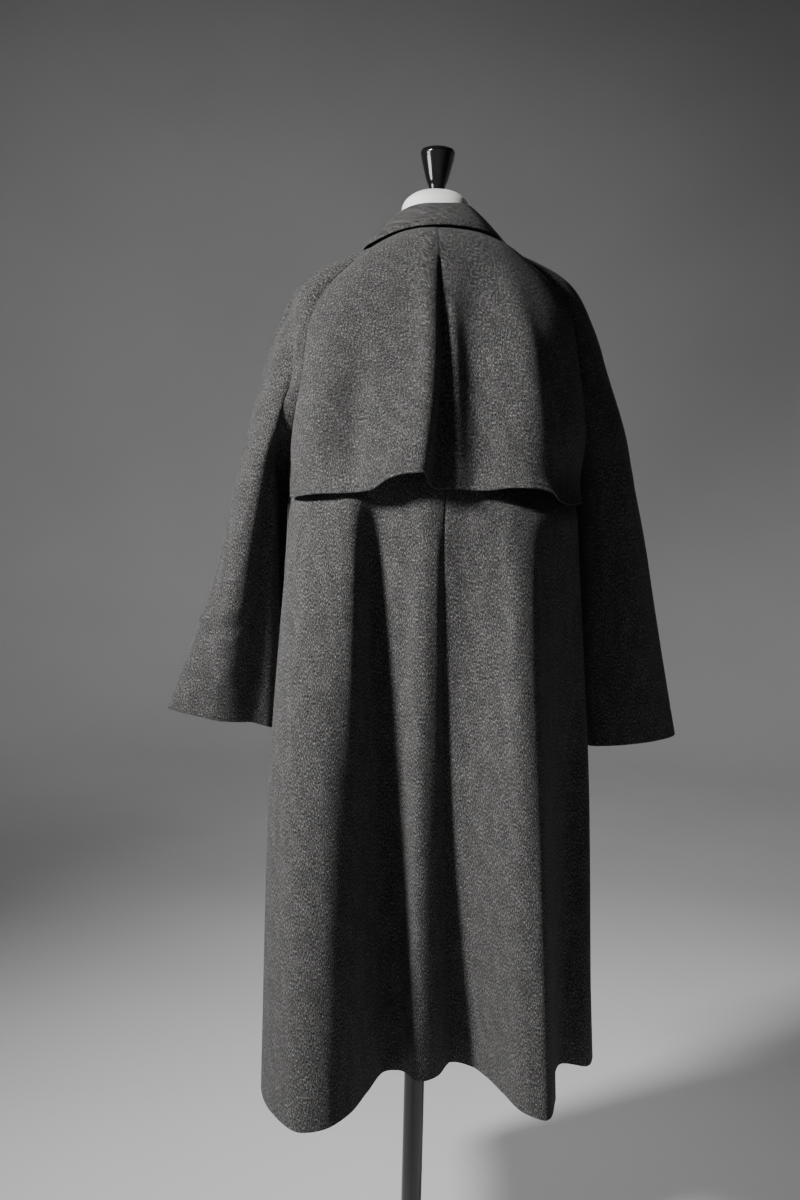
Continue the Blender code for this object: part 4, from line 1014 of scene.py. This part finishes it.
def make_form(cotton):
    """The form's padded body: smooth, with a cap at its neck."""
    table = form_table()
    levels = np.unique(np.concatenate([np.linspace(table[0, 0], SHOULDER_LEVELS[-1], 90),
                                       np.linspace(SHOULDER_LEVELS[-1], CAP_SIDE, 44),
                                       NECK[-1][1] - CAP_RISE * np.linspace(1, 0, 10) ** 2]))
    widths = smooth(table[:, 0], table[:, 1:], levels, steady=True)
    turns = np.arange(FORM_STEPS) * 2 * math.pi / FORM_STEPS
    across, deep = (np.sign(wave) * np.abs(wave) ** (2 / TORSO_ROUND)
                    for wave in (np.cos(turns), np.sin(turns)))
    x = across * np.where(across > 0, widths[:, 0, None], widths[:, 1, None])
    y = deep * np.where(deep > 0, widths[:, 2, None], widths[:, 3, None])
    z = np.repeat(levels[:, None], FORM_STEPS, axis=1)
    points = [tuple(point) for point in np.stack([x, y, z], axis=2).reshape(-1, 3)]
    faces = ring_faces(len(levels), FORM_STEPS)
    faces.append(tuple(range(FORM_STEPS - 1, -1, -1)))
    faces.append(tuple(range(len(points) - FORM_STEPS, len(points))))
    mesh = mesh_of("dress_form_body", points, faces)
    ready("dress_form_body", mesh, cotton, "form_torso")
    mesh.set_sharp_from_angle(angle=math.radians(50))


def make_stand(lacquer, gloss, enamel):
    """The finial on the neck, the pole under the torso and the base with its hub."""
    side = rounded(FINIAL[1:-1], 60)
    turned_piece("dress_form_finial", [FINIAL[0], *side, FINIAL[-1]], lacquer, "finial")
    foot = TORSO_FOOT + STAND_RISE - REST_GAP
    bottom = HUB_BORE_FLOOR + REST_GAP
    narrow = POLE_RADIUS - BEVEL
    turned_piece("dress_form_pole", ((0, foot), (narrow, foot), (POLE_RADIUS, foot - BEVEL),
                                     (POLE_RADIUS, bottom + BEVEL), (narrow, bottom),
                                     (0, bottom)), gloss, "pole", rise=0.0)
    bore = POLE_RADIUS + REST_GAP
    turned_piece("dress_form_base", [(0, HUB_BORE_FLOOR), (bore, HUB_BORE_FLOOR),
                                     (bore, HUB_TOP - BEVEL), (bore + BEVEL, HUB_TOP),
                                     (HUB_RADIUS - 0.0040, HUB_TOP),
                                     (HUB_RADIUS - 0.0011, HUB_TOP - 0.0012),
                                     *rounded(HUB_CURVE, 16), *rounded(RIM_CURVE, 8),
                                     (BASE_RADIUS, 0.0010), (BASE_RADIUS - 0.0010, 0), (0, 0)],
                 enamel, "base", steps=128, rise=0.0)


# The buttons and their thread.
HOLE_OUT = 0.0030
HOLE_RADIUS = 0.00115
CUTTER_LENGTH = 0.02
THREAD_RADIUS = 0.00042
THREAD_APART = 0.00045      # from the middle of a pair of holes to each of its strands
THREAD_PAST = 0.0002        # how far a strand reaches past the middle of its holes
THREAD_RISE = 0.0011        # over the hollow of the button's face
THREAD_DIP = 0.0030         # of a strand's ends, down into the holes
THREAD_OVER = 0.0004        # of the second pair, where it crosses the first


def drill(disc):
    """Cut the four holes through a button."""
    cutters = bmesh.new()
    for turn in range(4):
        angle = math.radians(45 + 90 * turn)
        at = Matrix.Translation((HOLE_OUT * math.cos(angle), HOLE_OUT * math.sin(angle), 0))
        bmesh.ops.create_cone(cutters, segments=20, radius1=HOLE_RADIUS, radius2=HOLE_RADIUS,
                              depth=CUTTER_LENGTH, cap_ends=True, matrix=at)
    holes = bpy.data.meshes.new("holes")
    cutters.to_mesh(holes)
    cutters.free()
    cutter = add_object("holes", holes)
    disc.modifiers.new("Holes", "BOOLEAN").object = cutter
    bpy.context.view_layer.update()
    graph = bpy.context.evaluated_depsgraph_get()
    drilled = bpy.data.meshes.new_from_object(disc.evaluated_get(graph))
    disc.modifiers.clear()
    disc.data = drilled
    bpy.data.objects.remove(cutter)


def button_strands():
    """The lines of the thread through a button's holes: two pairs that cross."""
    strands = []
    arc = np.linspace(-1, 1, 15)
    for shift in (-THREAD_APART, THREAD_APART):
        for turn in (45, 135):
            angle = math.radians(turn)
            run = np.array([math.cos(angle), math.sin(angle), 0.0])
            aside = np.array([-run[1], run[0], 0.0]) * shift
            points = run * (arc[:, None] * (HOLE_OUT + THREAD_PAST)) + aside
            heights = (BUTTON_DEPTH * BUTTON_PROFILE[0][1] + THREAD_RISE
                       - THREAD_DIP * np.abs(arc) ** 6)
            points[:, 2] = heights + THREAD_OVER * (turn == 135) * (1 - arc ** 2)
            strands.append(points)
    return strands


def strand_piece(name, strands, place, finish):
    """Round strands of thread along lines of points."""
    points = []
    faces = []
    turns = np.arange(STRAND_SIDES) * math.pi / (STRAND_SIDES / 2)
    for line in strands:
        forward = unit(np.gradient(line, axis=0))
        side = unit(np.cross(forward, np.array([0.1, 0.2, 1.0])))
        up = np.cross(side, forward)
        start = len(points)
        for at, across, over in zip(line, side, up):
            points += [tuple(at + (across * math.cos(turn) + over * math.sin(turn))
                             * THREAD_RADIUS) for turn in turns]
        faces += ring_faces(len(line), STRAND_SIDES, start)
        faces.append(tuple(range(start + STRAND_SIDES - 1, start - 1, -1)))
        faces.append(tuple(range(len(points) - STRAND_SIDES, len(points))))
    mesh = mesh_of(name, points, faces)
    mesh.transform(place)
    ready(name, mesh, finish)


def make_buttons(horn, thread):
    """Four sew-through buttons that lie on the left front."""
    profile = [(BUTTON_RADIUS * out, BUTTON_DEPTH * up) for out, up in BUTTON_PROFILE]
    profile[2:-1] = rounded(profile[2:-1], 28)
    lap = front_grid(np.linspace(-0.06, 0.06, 7), np.linspace(0.3, 1.1, 200))
    for number, level in enumerate(BUTTON_LEVELS, 1):
        near = np.abs(lap[..., 2] - level) < BUTTON_RADIUS * BUTTON_SEAT
        disc = turned_piece(f"coat_button_{number}", profile, horn, f"button_{number}", steps=72)
        drill(disc)
        upright = Matrix.Translation((0, lap[..., 1][near].min() - REST_GAP, level))
        upright = upright @ Matrix.Rotation(math.radians(90), 4, "X")
        disc.data.transform(upright)
        strand_piece(f"button_{number}_thread", button_strands(), upright, thread)


# Materials.
def new_material(name, colour, roughness, uv_map=None):
    """A material, its node tree and shader, and the coordinates that its noises read: the
    object's own, or those of a UV map."""
    made = bpy.data.materials.new(name)
    made.use_nodes = True
    tree = made.node_tree
    shader = tree.nodes["Principled BSDF"]
    shader.inputs["Base Color"].default_value = (*colour, 1.0)
    shader.inputs["Roughness"].default_value = roughness
    if uv_map:
        node = tree.nodes.new("ShaderNodeUVMap")
        node.uv_map = uv_map
        return made, tree, shader, node.outputs["UV"]
    return made, tree, shader, tree.nodes.new("ShaderNodeTexCoord").outputs["Object"]


def noise(tree, vector, scale, detail=2.0, roughness=0.5, stretch=None):
    """Noise on the coordinates, which may be stretched first."""
    if stretch:
        mapping = tree.nodes.new("ShaderNodeMapping")
        mapping.inputs["Scale"].default_value = stretch
        tree.links.new(vector, mapping.inputs["Vector"])
        vector = mapping.outputs["Vector"]
    node = tree.nodes.new("ShaderNodeTexNoise")
    node.inputs["Scale"].default_value = scale
    node.inputs["Detail"].default_value = detail
    node.inputs["Roughness"].default_value = roughness
    tree.links.new(vector, node.inputs["Vector"])
    return node.outputs["Fac"]


def ramp(tree, value, stops, target):
    """Drive one of the shader's sockets by a ramp of colours or greys over a value."""
    node = tree.nodes.new("ShaderNodeValToRGB")
    elements = node.color_ramp.elements
    while len(elements) < len(stops):
        elements.new(0.5)
    for element, (place, colour) in zip(elements, stops):
        element.position = place
        element.color = (*(colour if isinstance(colour, tuple) else (colour,) * 3), 1.0)
    tree.links.new(value, node.inputs["Fac"])
    tree.links.new(node.outputs["Color"], target)


def arithmetic(tree, operation, first, second):
    node = tree.nodes.new("ShaderNodeMath")
    node.operation = operation
    for socket, value in zip(node.inputs, (first, second)):
        if isinstance(value, (int, float)):
            socket.default_value = value
        else:
            tree.links.new(value, socket)
    return node.outputs["Value"]


def bump(tree, height, strength, distance, below=None):
    node = tree.nodes.new("ShaderNodeBump")
    node.inputs["Strength"].default_value = strength
    node.inputs["Distance"].default_value = distance
    tree.links.new(height, node.inputs["Height"])
    if below is not None:
        tree.links.new(below, node.inputs["Normal"])
    return node.outputs["Normal"]


def make_wool():
    """Charcoal wool, brushed so that its short nap lies down the cloth in small tufts."""
    made, tree, shader, uv = new_material("charcoal brushed wool", (0.070, 0.069, 0.068), 0.95,
                                          uv_map="cloth")
    tufts = noise(tree, uv, 760, 2, 0.60, (1.0, 0.40, 1.0))
    fibres = noise(tree, uv, 2200, 2, 0.55, (1.0, 0.16, 1.0))
    brushed = noise(tree, uv, 75, 2, 0.5, (1.0, 0.35, 1.0))
    mixed = arithmetic(tree, "ADD", arithmetic(tree, "MULTIPLY", tufts, 0.62),
                       arithmetic(tree, "MULTIPLY", fibres, 0.26))
    mixed = arithmetic(tree, "ADD", mixed, arithmetic(tree, "MULTIPLY", brushed, 0.09))
    ramp(tree, mixed, ((0.35, (0.008, 0.0078, 0.0078)), (0.47, (0.040, 0.0390, 0.0385)),
                       (0.55, (0.115, 0.112, 0.110)), (0.66, (0.330, 0.322, 0.318))),
         shader.inputs["Base Color"])
    deep = bump(tree, tufts, 0.9, 0.0024, bump(tree, brushed, 0.3, 0.0018))
    tree.links.new(bump(tree, fibres, 0.5, 0.0005, deep), shader.inputs["Normal"])
    shader.inputs["Sheen Weight"].default_value = 0.12
    shader.inputs["Sheen Roughness"].default_value = 0.45
    shader.inputs["Sheen Tint"].default_value = (0.62, 0.61, 0.60, 1.0)
    shader.inputs["Specular IOR Level"].default_value = 0.12
    return made


def make_thread():
    """Charcoal sewing thread with its twist."""
    made, tree, shader, place = new_material("charcoal thread", (0.020, 0.0195, 0.019), 0.60)
    twist = noise(tree, place, 2400, 1)
    ramp(tree, twist, ((0.35, (0.013, 0.0127, 0.0123)), (0.65, (0.034, 0.033, 0.032))),
         shader.inputs["Base Color"])
    tree.links.new(bump(tree, twist, 0.4, 0.0002), shader.inputs["Normal"])
    return made


def make_cotton():
    """White cotton stretched over the form: a fine plain weave."""
    made, tree, shader, place = new_material("white cotton cover", (0.82, 0.81, 0.79), 0.85)
    across = noise(tree, place, 1500, 1, 0.5, (1.0, 1.0, 0.12))
    along = noise(tree, place, 1500, 1, 0.5, (0.12, 0.12, 1.0))
    weave = arithmetic(tree, "ADD", across, along)
    ramp(tree, noise(tree, place, 18, 3),
         ((0.30, (0.78, 0.77, 0.745)), (0.70, (0.84, 0.835, 0.82))), shader.inputs["Base Color"])
    tree.links.new(bump(tree, weave, 0.25, 0.0003), shader.inputs["Normal"])
    shader.inputs["Sheen Weight"].default_value = 0.15
    return made


def make_gloss(name, colour, low, high, ripple):
    """Glossy black with the faint unevenness and smears of a handled finish."""
    made, tree, shader, place = new_material(name, colour, low)
    ramp(tree, noise(tree, place, 35, 4, 0.6), ((0.35, low), (0.70, high)),
         shader.inputs["Roughness"])
    tree.links.new(bump(tree, noise(tree, place, 60), ripple, 0.0004), shader.inputs["Normal"])
    shader.inputs["Coat Weight"].default_value = 0.5
    shader.inputs["Coat Roughness"].default_value = 0.05
    return made


def make_horn():
    """Satin black buttons with a faint grain of grey."""
    made, tree, shader, place = new_material("satin black horn", (0.020, 0.019, 0.018), 0.30)
    ramp(tree, noise(tree, place, 260, 4, 0.6, (1.0, 1.0, 0.25)),
         ((0.35, (0.012, 0.0115, 0.011)), (0.75, (0.045, 0.042, 0.039))),
         shader.inputs["Base Color"])
    ramp(tree, noise(tree, place, 900), ((0.3, 0.24), (0.7, 0.36)), shader.inputs["Roughness"])
    return made


# Studio and camera.
FLOOR_RADII = (0.0, 1.0, 2.0, 3.0, 4.0)
COVE = 2.0                  # radius of the curve from the floor up to the backdrop
COVE_START = 0.08           # radians
BACKDROP = ((6.0, 3.0), (6.0, 4.5))
FLOOR_STEPS = 96
FLOOR_DROP = 0.0003         # of the floor under the base
WORLD_LIGHT = 0.012
# Lights: name, place, what they aim at, size, spread in degrees, power, and whether they
# show on cloth and on gloss.
LIGHTS = (
    ("key", (2.85, 1.60, 2.60), (0.0, 0.0, 1.00), 0.6, 60.0, 34.0, True, True),
    ("window", (2.86, 0.82, 0.92), (0.0, 0.0, 1.20), 1.3, 180.0, 60.0, False, True),
    ("backdrop", (0.0, -1.2, 4.4), (0.0, -4.5, 1.0), 2.0, 90.0, 20.0, True, False),
    ("far backdrop", (0.0, 1.2, 4.4), (0.0, 4.5, 1.0), 2.0, 90.0, 14.0, True, False),
    ("floor", (0.0, 0.0, 4.6), (0.0, 0.0, 0.0), 3.0, 180.0, 9.0, True, False),
    ("front", (-1.4, -3.2, 2.4), (0.0, 0.0, 1.0), 1.6, 60.0, 20.0, True, False),
)
CAMERA_TURN = math.radians(172.0)
CAMERA_PITCH = math.radians(4.57)
CAMERA_ROLL = math.radians(1.38)
CAMERA_FROM = 2.14          # from the form's axis
CAMERA_ASIDE = 0.0378
CAMERA_LEVEL = 1.124 + STAND_RISE
LENS = 45.0                 # millimetres, on a frame of this height
FRAME_HEIGHT = 36.0
UPRIGHT = np.array([0.0, 0.0, 1.0])


def set_axes(made, side, up, back, place):
    """Stand a lamp or a camera at its place, looking against `back`."""
    axes = np.eye(4)
    axes[:3] = np.stack([side, up, back, place], axis=1)
    made.matrix_world = Matrix(axes)


def make_studio():
    """A plain pale floor that curves up into a round backdrop, and soft lights."""
    made, tree, shader, place = new_material("pale studio floor", (0.62, 0.62, 0.62), 0.85)
    ramp(tree, noise(tree, place, 1.2), ((0.3, 0.60), (0.7, 0.64)), shader.inputs["Base Color"])
    outline = [(radius, 0.0) for radius in FLOOR_RADII]
    outline += [(FLOOR_RADII[-1] + COVE * math.sin(turn), COVE - COVE * math.cos(turn))
                for turn in np.linspace(COVE_START, math.pi / 2, 20)]
    outline += BACKDROP
    turns = [2 * math.pi * step / FLOOR_STEPS for step in range(FLOOR_STEPS)]
    points = [(radius * math.cos(turn), radius * math.sin(turn), height - FLOOR_DROP)
              for radius, height in outline for turn in turns]
    faces = [(a, d, c, b) for a, b, c, d in ring_faces(len(outline), FLOOR_STEPS)]
    faces[:FLOOR_STEPS] = [face[:3] for face in faces[:FLOOR_STEPS]]
    mesh = mesh_of("studio_floor", points, faces)
    mesh.shade_smooth()
    mesh.materials.append(made)
    add_object("studio_floor", mesh)

    world = bpy.data.worlds.new("studio")
    bpy.context.scene.world = world
    world.use_nodes = True
    background = world.node_tree.nodes["Background"]
    background.inputs["Color"].default_value = (0.80, 0.82, 0.85, 1.0)
    background.inputs["Strength"].default_value = WORLD_LIGHT
    for name, place, aim, size, spread, power, on_cloth, on_gloss in LIGHTS:
        light = bpy.data.lights.new(name, "AREA")
        light.shape = "DISK"
        light.size = size
        light.spread = math.radians(spread)
        light.energy = power
        lamp = add_object(name, light)
        lamp.visible_diffuse = on_cloth
        lamp.visible_glossy = on_gloss
        back = unit(np.array(place, dtype=float) - np.array(aim, dtype=float))
        side = unit(np.cross(UPRIGHT, back))
        set_axes(lamp, side, np.cross(back, side), back, place)


def make_camera():
    """The camera of the photograph: behind the coat, level with its waist."""
    back = np.array([math.sin(CAMERA_TURN), -math.cos(CAMERA_TURN), 0.0])
    right = np.array([math.cos(CAMERA_TURN), math.sin(CAMERA_TURN), 0.0])
    tilted = back * math.cos(CAMERA_PITCH) + UPRIGHT * math.sin(CAMERA_PITCH)
    up = -back * math.sin(CAMERA_PITCH) + UPRIGHT * math.cos(CAMERA_PITCH)
    data = bpy.data.cameras.new("photo_camera")
    data.sensor_fit = "VERTICAL"
    data.sensor_height = FRAME_HEIGHT
    data.lens = LENS
    data.dof.use_dof = False
    camera = add_object("photo_camera", data)
    set_axes(camera, right * math.cos(CAMERA_ROLL) + up * math.sin(CAMERA_ROLL),
             up * math.cos(CAMERA_ROLL) - right * math.sin(CAMERA_ROLL), tilted,
             back * CAMERA_FROM - right * CAMERA_ASIDE + UPRIGHT * CAMERA_LEVEL)
    bpy.context.scene.camera = camera


def main():
    wool = make_wool()
    thread = make_thread()
    cotton = make_cotton()
    lacquer = make_gloss("black lacquer", (0.008, 0.008, 0.008), 0.10, 0.20, 0.04)
    gloss = make_gloss("gloss black paint", (0.009, 0.009, 0.010), 0.14, 0.26, 0.05)
    enamel = make_gloss("satin black enamel", (0.012, 0.012, 0.013), 0.34, 0.46, 0.10)
    horn = make_horn()
    made = make_coat(wool, thread)
    made["storm_flap"], made["flap thread"] = make_flap(wool, thread)
    made["collar"], made["collar thread"] = make_collar(wool, thread)
    make_form(cotton)
    make_stand(lacquer, gloss, enamel)
    make_buttons(horn, thread)
    make_studio()
    make_camera()


main()
